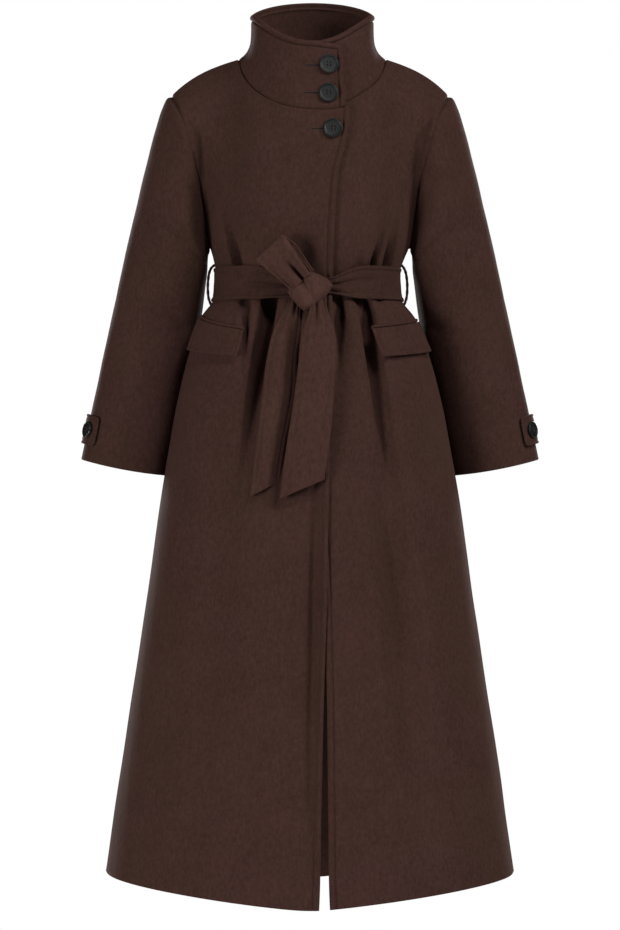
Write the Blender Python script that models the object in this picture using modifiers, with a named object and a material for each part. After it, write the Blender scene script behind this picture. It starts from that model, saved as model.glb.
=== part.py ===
"""Long belted wool coat with a funnel collar, made of hollow cloth panels.

Metres, +Z up. The front faces -Y and the wearer's right is at -X. The origin lies on the coat's
axis, level with the neck points, where the shoulders carry it.
"""
import math
from collections import namedtuple

import bpy
import numpy as np
from mathutils import Vector

CLOTH = 0.0020              # wall of one layer of coating
DOUBLE_CLOTH = 0.0028       # wall of a turned piece: belt, flap, tab
SEAM = 0.0004               # space between pieces that are sewn together
UNDERLAP = 0.0048           # how far the under front lies inside the over front

HEM = -1.2135               # hem at the side seams
HEM_DIP = 0.0350            # how much lower the hem is in the middle of the front and back
WAIST = -0.3350             # middle of the belt
ARMPIT = -0.2800
SQUARENESS = 2.2            # 2 is an ellipse, more is squarer

NECK_HALF_WIDTH = 0.1070
NECK_FRONT_DEPTH = 0.0980
NECK_BACK_DEPTH = 0.0780
NECK_SIDE_HEIGHT = 0.0030
NECK_FRONT_DROP = 0.0820
NECK_BACK_RISE = 0.0180
NECK_SHARE = 0.60           # share of a panel's top edge that is neckline, the rest is shoulder
PANEL_COLUMNS = 16          # points across half the body
NECK_COLUMNS = 10           # those of them that are on the neckline
SHOULDER_END = 0.2085
SHOULDER_SLOPE = 0.0300
SHOULDER_ROUND = 0.0240
ARMHOLE_DEPTH = 0.0600
CUFF_DIP = 0.0030           # how far the cuff's edge bows down between its corners

RIM_HALF_WIDTH = 0.0920
RIM_SHIFT = 0.0035
RIM_FRONT_DEPTH = 0.0860
RIM_BACK_DEPTH = 0.0700
RIM_SIDE_HEIGHT = 0.0700
RIM_FRONT_DROP = 0.0500
RIM_BACK_RISE = 0.0280
COLLAR_OVER_END = math.radians(28.8)
OVER_END_DROP = 0.0060      # how much lower the over end of the neckline and rim is
OVER_END_LEAN = 0.6         # how far it stands forward, as a share of that drop

BELT_TOP = -0.3090
BELT_BOTTOM = -0.3615
BELT_WIDTH = 0.0520
BELT_LIFT = 0.0016
KNOT_DEPTH = 0.0230
KNOT_ROUNDED = 0.8333       # share of the block's size that is left once it is rounded
KEEPER_THICKNESS = 0.0048
KEEPER_STAND_OFF = 0.0115   # how far the keeper's outer side stands off the side seam
BUTTON_RADIUS = 0.0145
CUFF_BUTTON_RADIUS = 0.0125

Level = namedtuple("Level", "height half_width front_depth back_depth shift")
BODY_LEVELS = (
    Level(-1.2135, 0.3050, 0.2030, 0.2030, 0.0000),
    Level(-1.0470, 0.2805, 0.1880, 0.1880, 0.0000),
    Level(-0.8070, 0.2440, 0.1660, 0.1660, 0.0000),
    Level(-0.6270, 0.2180, 0.1500, 0.1480, 0.0000),
    Level(-0.5100, 0.1970, 0.1390, 0.1340, -0.0010),
    Level(-0.4400, 0.1790, 0.1290, 0.1210, -0.0020),
    Level(-0.3750, 0.1560, 0.1160, 0.1040, -0.0035),
    Level(-0.3350, 0.1355, 0.1040, 0.0900, -0.0037),
    Level(-0.3100, 0.1365, 0.1110, 0.0965, -0.0033),
    Level(-0.2950, 0.1418, 0.1180, 0.1035, -0.0018),
    Level(-0.2800, 0.1500, 0.1225, 0.1090, 0.0000),
)

# Heights of the rows of points below the armpits, and shares of the way up above them.
SKIRT_HEIGHTS = (HEM, -1.05, -0.88, -0.74, -0.63, -0.55, -0.485, -0.435, -0.403, -0.378, -0.355,
                 -0.335, -0.315, -0.298, ARMPIT)
YOKE_RISES = (0.03, 0.10, 0.22, 0.35, 0.48, 0.61, 0.73, 0.84, 0.93, 0.98, 1.0)

# Where the two front edges run: x of the over front and of the under front at each height.
Edge = namedtuple("Edge", "height over under tuck")
FRONT_EDGES = (
    Edge(-1.2500, 0.0130, 0.0290, 0.00),
    Edge(-0.9000, 0.0165, 0.0285, 0.00),
    Edge(-0.7500, 0.0185, 0.0282, 0.00),
    Edge(-0.6500, 0.0200, 0.0280, 0.35),
    Edge(-0.5600, 0.0240, 0.0280, 0.75),
    Edge(-0.5000, 0.0275, 0.0190, 1.00),
    Edge(-0.4300, 0.0310, -0.0010, 1.00),
    Edge(-0.3350, 0.0350, -0.0200, 1.00),
    Edge(-0.2775, 0.0356, -0.0260, 1.00),
    Edge(-0.2250, 0.0380, -0.0280, 1.00),
    Edge(-0.1710, 0.0425, -0.0290, 1.00),
    Edge(-0.1275, 0.0527, -0.0300, 1.00),
    Edge(-0.0850, 0.0586, -0.0300, 1.00),
)

# Troughs pressed into the cloth by the belt: place across as a share of the half width,
# width as the same share, depth, the height of the middle, and the reach above and below it.
Fold = namedtuple("Fold", "across width depth middle up down")
FRONT_FOLDS = (
    Fold(-0.80, 0.060, 0.0060, -0.320, 0.070, 0.020),
    Fold(-0.69, 0.050, 0.0050, -0.352, 0.020, 0.035),
    Fold(-0.425, 0.075, 0.0095, -0.345, 0.025, 0.170),
    Fold(-0.09, 0.120, 0.0040, -0.310, 0.090, 0.030),
    Fold(-0.20, 0.150, 0.0060, -0.800, 0.150, 0.220),
    Fold(0.30, 0.045, 0.0060, -0.350, 0.030, 0.060),
    Fold(0.575, 0.055, 0.0100, -0.350, 0.020, 0.170),
    Fold(0.70, 0.050, 0.0050, -0.320, 0.040, 0.020),
    Fold(0.83, 0.060, 0.0055, -0.320, 0.060, 0.020),
)
BACK_FOLDS = (
    Fold(-0.72, 0.070, 0.0080, -0.340, 0.060, 0.140),
    Fold(-0.38, 0.070, 0.0090, -0.340, 0.080, 0.180),
    Fold(0.04, 0.080, 0.0070, -0.345, 0.050, 0.200),
    Fold(0.36, 0.060, 0.0090, -0.340, 0.070, 0.150),
    Fold(0.74, 0.070, 0.0070, -0.340, 0.060, 0.160),
)

# Cross sections of a sleeve, from the armhole to the cuff.
Section = namedtuple("Section", "place outer_x outer_z inner_x inner_z half_depth back_shift")
SLEEVE_SECTIONS = (
    Section(0.00, 0.2085, -0.0510, 0.1500, -0.2800, 0.0600, 0.000),
    Section(0.04, 0.2190, -0.0640, 0.1525, -0.2880, 0.0650, 0.004),
    Section(0.10, 0.2310, -0.0980, 0.1535, -0.2980, 0.0700, 0.012),
    Section(0.18, 0.2440, -0.1450, 0.1545, -0.3130, 0.0740, 0.022),
    Section(0.30, 0.2600, -0.2070, 0.1580, -0.3360, 0.0750, 0.034),
    Section(0.45, 0.2785, -0.2820, 0.1640, -0.3780, 0.0730, 0.046),
    Section(0.58, 0.2950, -0.3570, 0.1720, -0.4250, 0.0700, 0.054),
    Section(0.74, 0.3150, -0.4470, 0.1875, -0.4970, 0.0670, 0.058),
    Section(0.87, 0.3315, -0.5220, 0.2015, -0.5620, 0.0640, 0.060),
    Section(1.00, 0.3470, -0.5960, 0.2150, -0.6210, 0.0620, 0.060),
)

# The belt's hanging ends: x of both edges at each height.
Strip = namedtuple("Strip", "height left right")
REAR_TAIL = (
    Strip(-0.372, -0.0310, -0.0140),
    Strip(-0.402, -0.0520, -0.0120),
    Strip(-0.443, -0.0630, -0.0170),
    Strip(-0.505, -0.0710, -0.0200),
    Strip(-0.570, -0.0790, -0.0330),
    Strip(-0.640, -0.0885, -0.0430),
)
FRONT_TAIL = (
    Strip(-0.376, 0.0000, 0.0250),
    Strip(-0.410, -0.0115, 0.0370),
    Strip(-0.450, -0.0170, 0.0385),
    Strip(-0.505, -0.0240, 0.0355),
    Strip(-0.570, -0.0350, 0.0300),
    Strip(-0.640, -0.0450, 0.0215),
)
REAR_TAIL_SLANT = 0.021     # the low corner is this much below the high one
FRONT_TAIL_SLANT = 0.028

# Side view of the bow loop: distance from the knot and lift off the body's front.
Turn = namedtuple("Turn", "place along lift")
LOOP_TURNS = (
    Turn(0.00, 0.0060, 0.0078),
    Turn(0.20, 0.0260, 0.0075),
    Turn(0.38, 0.0500, 0.0088),
    Turn(0.46, 0.0600, 0.0118),
    Turn(0.50, 0.0622, 0.0153),
    Turn(0.54, 0.0600, 0.0191),
    Turn(0.62, 0.0500, 0.0223),
    Turn(0.80, 0.0260, 0.0233),
    Turn(1.00, 0.0060, 0.0218),
)
LOOP_START = (-0.0200, -0.3230)
LOOP_LEAN = math.radians(42.0)      # from upright, towards the wearer's right
LOOP_BASE_WIDTH = 0.0380
LOOP_TIP_WIDTH = 0.0540

# A pocket flap and the welt above it: x of the front edge, and the heights at front and side.
FLAP_FRONT_TOP = (0.1000, -0.4030)
FLAP_FRONT_LOW = (0.1050, -0.4460)
FLAP_SIDE_ANGLE = math.radians(80.0)
FLAP_SIDE_TOP = -0.3860
FLAP_SIDE_LOW = -0.4330
FLAP_LIFT_TOP = 0.0008
FLAP_LIFT_LOW = 0.0060
WELT_HEIGHT = 0.0050

# The cuff tab: where it starts and ends round the sleeve, its edges along the sleeve, and its lift.
TAB_FRONT_ANGLE = math.radians(133.0)
TAB_BACK_ANGLE = math.radians(248.0)
TAB_PLACES = (0.880, 0.963)
TAB_LIFT = 0.0022
CUFF_BUTTON_ANGLE = math.radians(149.0)

# Outline of half a button from its axis underneath to its axis on top, as shares of the radius.
ButtonPoint = namedtuple("ButtonPoint", "out up")
BUTTON_PROFILE = (
    ButtonPoint(0.00, 0.00),
    ButtonPoint(0.80, 0.00),
    ButtonPoint(0.96, 0.10),
    ButtonPoint(1.00, 0.20),
    ButtonPoint(0.96, 0.30),
    ButtonPoint(0.86, 0.33),
    ButtonPoint(0.76, 0.29),
    ButtonPoint(0.66, 0.22),
    ButtonPoint(0.00, 0.22),
)
HOLE_OFFSET = 0.16
HOLE_RADIUS = 0.075

# Colours, linear.
WOOL = (0.050, 0.026, 0.021)
WOOL_BELT = (0.046, 0.024, 0.019)
HORN = (0.034, 0.035, 0.037)


def clear_scene():
    for old in list(bpy.data.objects):
        bpy.data.objects.remove(old, do_unlink=True)


def new_collection(name):
    made = bpy.data.collections.new(name)
    bpy.context.scene.collection.children.link(made)
    return made


def new_material(name, colour, roughness):
    made = bpy.data.materials.new(name)
    made.use_nodes = True
    shader = made.node_tree.nodes["Principled BSDF"]
    shader.inputs["Base Color"].default_value = (*colour, 1.0)
    shader.inputs["Roughness"].default_value = roughness
    shader.inputs["Metallic"].default_value = 0.0
    return made


def curve_through(rows, by, name, at):
    """One column of a table, read at any place on a smooth curve through its rows."""
    places = np.array([getattr(row, by) for row in rows])
    values = np.array([getattr(row, name) for row in rows])
    slopes = np.gradient(values, places)
    first = np.clip(np.searchsorted(places, at) - 1, 0, len(rows) - 2)
    span = places[first + 1] - places[first]
    t = np.clip((at - places[first]) / span, 0.0, 1.0)
    start = (1 + 2 * t) * (1 - t) ** 2 * values[first] + t * (1 - t) ** 2 * span * slopes[first]
    end = t * t * (3 - 2 * t) * values[first + 1] + t * t * (t - 1) * span * slopes[first + 1]
    return start + end


def level(name, height):
    return curve_through(BODY_LEVELS, "height", name, height)


def edge(name, height):
    return curve_through(FRONT_EDGES, "height", name, height)


def signed_power(value, power):
    return np.sign(value) * np.abs(value) ** power


def ease(value):
    t = np.clip(value, 0.0, 1.0)
    return t * t * (3 - 2 * t)


def fold_depth(side, across, height):
    """How far the troughs of the front (-1) or back (1) press in at a place."""
    total = 0.0
    for fold in FRONT_FOLDS if side < 0 else BACK_FOLDS:
        reach = np.where(height > fold.middle, fold.up, fold.down)
        place = ((across - fold.across) / fold.width) ** 2 + ((height - fold.middle) / reach) ** 2
        total = total + fold.depth * np.exp(-place)
    return total


def moved_in(x, y, amount):
    """The same point, drawn in towards the coat's axis."""
    keep = 1.0 - amount / np.maximum(np.hypot(x, y), 0.02)
    return x * keep, y * keep


def ring(side, angle, height, folded=True):
    """The body below the armpits. Angle 0 is the middle, plus or minus 90 degrees the side."""
    half_width = level("half_width", height)
    depth = level("front_depth" if side < 0 else "back_depth", height)
    x = half_width * signed_power(np.sin(angle), 2 / SQUARENESS)
    y = side * depth * np.abs(np.cos(angle)) ** (2 / SQUARENESS)
    if folded:
        x, y = moved_in(x, y, fold_depth(side, x / half_width, height))
    low = np.clip((WAIST - height) / (WAIST - HEM), 0.0, 1.0) ** 2
    dip = HEM_DIP * low * (1 - np.hypot(np.sin(angle), 0.05))
    return x + level("shift", height), y, height - dip


def angle_at(x, height):
    """The ring angle at which the body is x from the axis."""
    share = (x - level("shift", height)) / level("half_width", height)
    return np.arcsin(np.clip(signed_power(share, SQUARENESS / 2), -1.0, 1.0))


def neckline(angle):
    """Neck seam all round: angle 0 is the front, 90 degrees the side, 180 the back."""
    lean = np.cos(angle)
    x = NECK_HALF_WIDTH * np.sin(angle)
    front_y = -NECK_FRONT_DEPTH * np.abs(lean) ** 0.9
    back_y = NECK_BACK_DEPTH * np.abs(lean)
    front_z = NECK_SIDE_HEIGHT - NECK_FRONT_DROP * np.abs(lean) ** 1.05
    back_z = NECK_SIDE_HEIGHT + NECK_BACK_RISE * np.abs(lean) ** 1.2
    return x, np.where(lean > 0, front_y, back_y), np.where(lean > 0, front_z, back_z)


def top_edge(side, share):
    """Neckline and shoulder seam of a half panel: share 0 is the middle, 1 the shoulder end."""
    angle = np.clip(share / NECK_SHARE, -1.0, 1.0) * math.pi / 2
    x, y, z = neckline(angle if side < 0 else math.pi - angle)
    along = np.clip((share - NECK_SHARE) / (1 - NECK_SHARE), 0.0, 1.0)
    x = x + along * (SHOULDER_END - NECK_HALF_WIDTH)
    z = z - SHOULDER_SLOPE * along - SHOULDER_ROUND * along ** 3
    return x, y, z


def armhole_x(x_bottom, x_top, rise):
    return x_bottom + (x_top - x_bottom) * (0.55 * rise + 0.45 * rise ** 4)


def yoke(side, hand, share, rise):
    """The body above the armpits: rise 0 is the armpit level, 1 the neckline and shoulder seam."""
    bottom = ring(side, hand * share * math.pi / 2, ARMPIT + 0.0 * share)
    top = top_edge(side, share)
    away = np.abs(share)
    bottom_x = hand * bottom[0]
    straight = bottom_x + (top[0] - bottom_x) * rise
    near_arm = away ** 3
    x = straight * (1 - near_arm) + armhole_x(bottom_x, top[0], rise) * near_arm
    roundness = 1.0 - 0.5 * np.clip(away / NECK_SHARE, 0.0, 1.0)
    y = top[1] + (bottom[1] - top[1]) * np.maximum(1 - rise ** 2, 0.0) ** roundness
    hollow = np.maximum(np.sin(math.pi * rise), 0.0) ** 0.8
    y = y + side * ARMHOLE_DEPTH * hollow * away ** 6
    z = bottom[2] + (top[2] - bottom[2]) * rise
    return x, y, z


def shares_from(start):
    """Shares of a row of points from its start to the side, with one on the neck point."""
    step = np.linspace(0.0, 1.0, PANEL_COLUMNS)[None, :]
    return np.where(step < NECK_SHARE, start + step / NECK_SHARE * (NECK_SHARE - start), step)


def half_panel(side, hand, edge_name=None):
    """Grid of points of half the front (-1) or back (1), from its middle edge to its side.

    The hand is -1 for the wearer's right and 1 for the left. A front starts at its own edge,
    which lies past the middle where the fronts overlap, and a back starts in the middle.
    """
    low = np.array(SKIRT_HEIGHTS)[:, None]
    rise = np.array(YOKE_RISES)[:, None]
    start_low, start_high = np.zeros_like(low), np.zeros_like(rise)
    if edge_name:
        start_low = hand * angle_at(edge(edge_name, low), low) / (math.pi / 2)
        trial = np.linspace(-0.5, 0.5, 101)
        for row, up in enumerate(YOKE_RISES):
            x, y, z = yoke(side, hand, trial, up)
            start_high[row] = np.interp(0.0, x - hand * edge(edge_name, z), trial)
    angle = shares_from(start_low) * math.pi / 2
    below = np.stack(ring(side, hand * angle, low + 0.0 * angle), axis=-1)
    share = shares_from(start_high)
    x, y, z = yoke(side, hand, share, rise)
    if edge_name == "over":
        past = np.clip(-share / NECK_SHARE * (math.pi / 2) / COLLAR_OVER_END, 0.0, 1.2)
        lower = OVER_END_DROP * past * rise ** 2
        y, z = y - OVER_END_LEAN * lower, z - lower
    grid = np.concatenate((below, np.stack((hand * x, y, z), axis=-1)))
    grid[:len(low), -1, 1] += side * SEAM / 2
    grid[-1, :, 1] += np.where(share[-1] >= NECK_SHARE - 1e-6, side * SEAM / 2, 0.0)
    return grid


def underlap(x):
    """How far the under side is moved in at a distance to the left of the axis."""
    return UNDERLAP * ease((0.105 - x) / 0.035)


def tuck_under(grid):
    """Moves the middle of the under front in, so that the over front can lie on it."""
    x, y, z = grid[..., 0], grid[..., 1], grid[..., 2]
    grid[..., 0], grid[..., 1] = moved_in(x, y, underlap(x) * edge("tuck", z))
    return grid


def normals_of(grid, closed=False):
    """Unit normals of a grid of points; a closed grid joins its last column to its first."""
    if closed:
        across = np.roll(grid, -1, axis=1) - np.roll(grid, 1, axis=1)
    else:
        across = np.gradient(grid, axis=1)
    normal = np.cross(across, np.gradient(grid, axis=0))
    return normal / np.maximum(np.linalg.norm(normal, axis=-1, keepdims=True), 1e-12)


def outward(grid):
    """Unit normals of an open grid that point away from the coat's axis."""
    normal = normals_of(grid)
    return normal if (normal[..., :2] * grid[..., :2]).sum() > 0 else -normal


def shell(name, outer, inner, material, collection, closed=False):
    """A closed wall between two grids of points."""
    rows, columns = outer.shape[:2]
    points = np.concatenate((outer.reshape(-1, 3), inner.reshape(-1, 3)))
    inside = rows * columns
    faces = []
    last = columns if closed else columns - 1
    for r in range(rows - 1):
        for c in range(last):
            corners = [r * columns + c, r * columns + (c + 1) % columns]
            corners += [corners[1] + columns, corners[0] + columns]
            faces.append(corners)
            faces.append([inside + corner for corner in reversed(corners)])
    for c in range(last):
        d = (c + 1) % columns
        faces.append([d, c, inside + c, inside + d])
        top = (rows - 1) * columns
        faces.append([top + c, top + d, inside + top + d, inside + top + c])
    if not closed:
        for r in range(rows - 1):
            a, b = r * columns, (r + 1) * columns
            faces.append([a, b, inside + b, inside + a])
            a, b = a + columns - 1, b + columns - 1
            faces.append([b, a, inside + a, inside + b])
    return add_mesh(name, points, faces, material, collection)


def add_mesh(name, points, faces, material, collection):
    mesh = bpy.data.meshes.new(name)
    mesh.from_pydata([tuple(point) for point in points], [], faces)
    mesh.validate()
    mesh.update()
    volume = sum(
        mesh.vertices[face.vertices[0]].co.dot(
            mesh.vertices[face.vertices[k]].co.cross(mesh.vertices[face.vertices[k + 1]].co))
        for face in mesh.polygons for k in range(1, len(face.vertices) - 1))
    if volume < 0:
        mesh.flip_normals()
    mesh.materials.append(material)
    made = bpy.data.objects.new(name, mesh)
    collection.objects.link(made)
    return made


def panel_wall(name, grid, material, collection):
    """A body panel: the wall goes in from the grid, square to the seams at the sides and shoulders."""
    normal = outward(grid)
    on_seam = np.abs(grid[..., 1]) <= SEAM
    normal[..., 1] = np.where(on_seam, 0.0, normal[..., 1])
    armhole_rows = len(SKIRT_HEIGHTS) + 2
    normal[armhole_rows:, -1, 0] = 0.0
    if name == "back":
        normal[armhole_rows:, 0, 0] = 0.0
    normal = normal / np.linalg.norm(normal, axis=-1, keepdims=True)
    return shell(name, grid, grid - CLOTH * normal, material, collection)


def front_right(material, collection):
    return panel_wall("front_right", half_panel(-1, -1, "over"), material, collection)


def front_left(material, collection):
    grid = tuck_under(half_panel(-1, 1, "under"))
    return panel_wall("front_left", grid, material, collection)


def back(material, collection):
    right_half = half_panel(1, -1)
    left_half = half_panel(1, 1)
    whole = np.concatenate((right_half[:, :0:-1], left_half), axis=1)
    return panel_wall("back", whole, material, collection)


def sleeve_points(angle, place):
    """The left sleeve: angle 0 is the armpit line, 90 degrees the front, 180 the outer line."""
    inner_x = curve_through(SLEEVE_SECTIONS, "place", "inner_x", place)
    inner_z = curve_through(SLEEVE_SECTIONS, "place", "inner_z", place)
    outer_x = curve_through(SLEEVE_SECTIONS, "place", "outer_x", place)
    outer_z = curve_through(SLEEVE_SECTIONS, "place", "outer_z", place)
    half_depth = curve_through(SLEEVE_SECTIONS, "place", "half_depth", place)
    reach = (1 - np.cos(angle)) / 2
    x = inner_x + (outer_x - inner_x) * reach
    y = curve_through(SLEEVE_SECTIONS, "place", "back_shift", place) - half_depth * np.sin(angle)
    z = inner_z + (outer_z - inner_z) * reach - CUFF_DIP * np.sin(angle) ** 2 * place ** 8

    head = SLEEVE_SECTIONS[0]
    fade = (1 - np.clip(place / 0.18, 0.0, 1.0)) ** 2
    seam_x = armhole_x(head.inner_x, head.outer_x, reach)
    seam_y = -ARMHOLE_DEPTH * np.sign(np.sin(angle)) * np.abs(np.sin(math.pi * reach)) ** 0.8
    x = x + fade * (seam_x - head.inner_x - (head.outer_x - head.inner_x) * reach)
    y = y + fade * (seam_y + head.half_depth * np.sin(angle))
    return np.stack((x + 1.5 * SEAM, y, z), axis=-1)


def sleeve(name, hand, material, collection):
    rises = np.array((0.0,) + YOKE_RISES)
    front = np.arccos(1 - 2 * rises)
    angle = np.concatenate((front, 2 * math.pi - front[-2:0:-1]))[None, :]
    place = np.array([0.0, 0.02, 0.05, 0.10, 0.17, 0.25, 0.34, 0.44, 0.54, 0.64, 0.74, 0.83, 0.92, 1.0])
    grid = sleeve_points(angle, place[:, None])
    normal = -normals_of(grid, closed=True)
    normal[0, :, 0] = 0.0
    normal[0] /= np.linalg.norm(normal[0], axis=-1, keepdims=True)
    grid[..., 0] *= hand
    normal[..., 0] *= hand
    return shell(name, grid, grid - CLOTH * normal, material, collection, closed=True)


def collar_points(angle, up):
    """The collar from its over end, round the back, to its under end; up is 0 at the neck seam."""
    lean = np.cos(angle)
    low = neckline(angle)
    front_y = -RIM_FRONT_DEPTH * np.abs(lean) ** 0.9
    rim_y = np.where(lean > 0, front_y, RIM_BACK_DEPTH * np.abs(lean))
    front_z = RIM_SIDE_HEIGHT - RIM_FRONT_DROP * np.abs(lean) ** 1.3
    rim_z = np.where(lean > 0, front_z, RIM_SIDE_HEIGHT + RIM_BACK_RISE * np.abs(lean) ** 1.2)
    drop = OVER_END_DROP * np.clip(angle / COLLAR_OVER_END, 0.0, 1.0)
    pull = 1 - (1 - up) ** (1 + 5 * (1 - np.abs(lean)) ** 1.5)
    x = low[0] + (RIM_SHIFT + RIM_HALF_WIDTH * np.sin(angle) - low[0]) * pull
    y = low[1] + (rim_y - low[1]) * pull
    y = y - OVER_END_LEAN * drop * (1 - up)
    z = low[2] + 2 * SEAM + (rim_z - low[2]) * up - drop
    tuck = np.where(angle < -1.5 * math.pi, underlap(low[0]), 0.0)
    x, y = moved_in(x, y, tuck)
    return np.stack((x, y, z), axis=-1)


def collar(material, collection):
    over = math.asin(edge("over", -NECK_FRONT_DROP) / NECK_HALF_WIDTH)
    under = math.asin(edge("under", -NECK_FRONT_DROP) / NECK_HALF_WIDTH)
    right = np.linspace(over, -math.pi / 2, NECK_COLUMNS)
    behind = np.linspace(-math.pi / 2, -1.5 * math.pi, 2 * NECK_COLUMNS - 1)[1:-1]
    left = np.linspace(-1.5 * math.pi, under - 2 * math.pi, NECK_COLUMNS)
    right[0] = COLLAR_OVER_END
    angle = np.concatenate((right, behind, left))[None, :]
    up = np.array((0.0, 0.08, 0.18, 0.32, 0.55, 0.78, 1.0))[:, None]
    grid = collar_points(angle, up)
    normal = outward(grid)
    normal[0, :, 2] = 0.0
    normal[0] /= np.linalg.norm(normal[0], axis=-1, keepdims=True)
    return shell("collar", grid, grid - CLOTH * normal, material, collection)


def front_y(x, z):
    """How far forward the smooth front of the body is at a place seen from the front."""
    height = np.clip(z, HEM, ARMPIT)
    away = np.abs(x - level("shift", height))
    share = np.clip(away / level("half_width", height), 0.0, 0.999)
    return -level("front_depth", height) * (1 - share ** SQUARENESS) ** (1 / SQUARENESS)


def belt_band(material, collection):
    """The belt from one side of the knot, round the back, to the other side."""
    right = np.linspace(-0.06, -math.pi / 2, 17)
    behind = np.linspace(-math.pi / 2, math.pi / 2, 31)[1:-1]
    around = [(-1, angle) for angle in right] + [(1, angle) for angle in behind]
    around += [(-1, -angle) for angle in right[::-1]]
    middle = (BELT_TOP + BELT_BOTTOM) / 2
    grid = np.zeros((4, len(around), 3))
    for column, (side, angle) in enumerate(around):
        pinch = 1 - 0.35 * math.exp(-(angle / 0.30) ** 2) if side < 0 else 1.0
        height = middle + np.linspace(-0.5, 0.5, 4) * BELT_WIDTH * pinch
        grid[:, column] = np.stack(ring(side, angle, height, folded=False), axis=-1)
    normal = outward(grid)
    inner = grid + BELT_LIFT * normal
    return shell("belt_band", inner + DOUBLE_CLOTH * normal, inner, material, collection)


def belt_knot(material, collection):
    """The knot: a rounded lump on the belt, a little tilted."""
    x, z = 0.0010, -0.3440
    bpy.ops.mesh.primitive_cube_add(size=1.0)
    made = bpy.context.object
    made.name = "belt_knot"
    for old in list(made.users_collection):
        old.objects.unlink(made)
    collection.objects.link(made)
    made.location = (x, front_y(x, z) - BELT_LIFT - DOUBLE_CLOTH - 3.5 * SEAM - KNOT_DEPTH / 2, z)
    made.scale = (0.0560 / KNOT_ROUNDED, KNOT_DEPTH / KNOT_ROUNDED, 0.0400 / KNOT_ROUNDED)
    made.rotation_euler = (0.0, math.radians(14.0), 0.0)
    smooth = made.modifiers.new("rounded", "SUBSURF")
    smooth.levels = 2
    smooth.render_levels = 2
    made.data.materials.append(material)
    return made


def belt_loop(material, collection):
    """The bow loop: a strip that leaves the knot, turns over and comes back."""
    place = np.linspace(0.0, 1.0, 17)
    along = curve_through(LOOP_TURNS, "place", "along", place)[:, None]
    lift = curve_through(LOOP_TURNS, "place", "lift", place)[:, None]
    spread = LOOP_BASE_WIDTH + (LOOP_TIP_WIDTH - LOOP_BASE_WIDTH) * np.clip(along / 0.060, 0, 1)
    across = np.linspace(-0.5, 0.5, 6)[None, :] * spread
    x = LOOP_START[0] - along * math.sin(LOOP_LEAN) + across * math.cos(LOOP_LEAN)
    z = LOOP_START[1] + along * math.cos(LOOP_LEAN) + across * math.sin(LOOP_LEAN)
    grid = np.stack((x, front_y(x, z) - lift, z), axis=-1)
    half = normals_of(grid) * DOUBLE_CLOTH / 2
    return shell("belt_loop", grid + half, grid - half, material, collection)


def belt_tail(name, rows, slant, lift, material, collection):
    """A hanging belt end that lies on the skirt and is cut off at a slant."""
    heights = np.linspace(rows[0].height, rows[-1].height, 10)[:, None]
    upward = rows[::-1]
    left = curve_through(upward, "height", "left", heights)
    right = curve_through(upward, "height", "right", heights)
    share = np.linspace(0.0, 1.0, 6)[None, :]
    progress = (rows[0].height - heights) / (rows[0].height - rows[-1].height)
    x = left + (right - left) * share
    z = heights + slant * (share - 0.5) * progress ** 2
    grid = np.stack((x, front_y(x, z) - lift, z), axis=-1)
    outer = grid - np.array((0.0, DOUBLE_CLOTH, 0.0))
    return shell(name, outer, grid, material, collection)


def pocket_grid(hand, front_top, front_low, side_top, side_low, rows, columns):
    """Points of the body behind a patch that starts in front and ends near the side seam."""
    down = np.linspace(0.0, 1.0, rows)[:, None]
    share = np.linspace(0.0, 1.0, columns)[None, :]
    front_z = front_top[1] + (front_low[1] - front_top[1]) * down
    front_x = front_top[0] + (front_low[0] - front_top[0]) * down
    z = front_z + (side_top + (side_low - side_top) * down - front_z) * share
    start = hand * angle_at(hand * front_x, front_z)
    angle = start + (FLAP_SIDE_ANGLE - start) * share
    grid = np.stack(ring(-1, hand * angle, z, folded=False), axis=-1)
    return grid, outward(grid), down


def flap(name, hand, material, collection):
    grid, normal, down = pocket_grid(
        hand, FLAP_FRONT_TOP, FLAP_FRONT_LOW, FLAP_SIDE_TOP, FLAP_SIDE_LOW, 6, 9)
    lift = (FLAP_LIFT_TOP + (FLAP_LIFT_LOW - FLAP_LIFT_TOP) * down)[..., None]
    inner = grid + lift * normal
    return shell(name, inner + DOUBLE_CLOTH * normal, inner, material, collection)


def welt(name, hand, material, collection):
    """The narrow turned strip over the pocket mouth, just above the flap."""
    low = (FLAP_FRONT_TOP[0], FLAP_FRONT_TOP[1] + 2 * SEAM)
    high = (FLAP_FRONT_TOP[0], low[1] + WELT_HEIGHT)
    side_low = FLAP_SIDE_TOP + 2 * SEAM
    grid, normal, down = pocket_grid(hand, high, low, side_low + WELT_HEIGHT, side_low, 4, 9)
    inner = grid + SEAM * normal
    swell = (0.0012 + 0.0022 * np.sin(math.pi * down))[..., None]
    return shell(name, inner + swell * normal, inner, material, collection)


def side_x(hand, height):
    """Distance of a side seam from the axis."""
    return level("half_width", height) + hand * level("shift", height)


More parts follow.
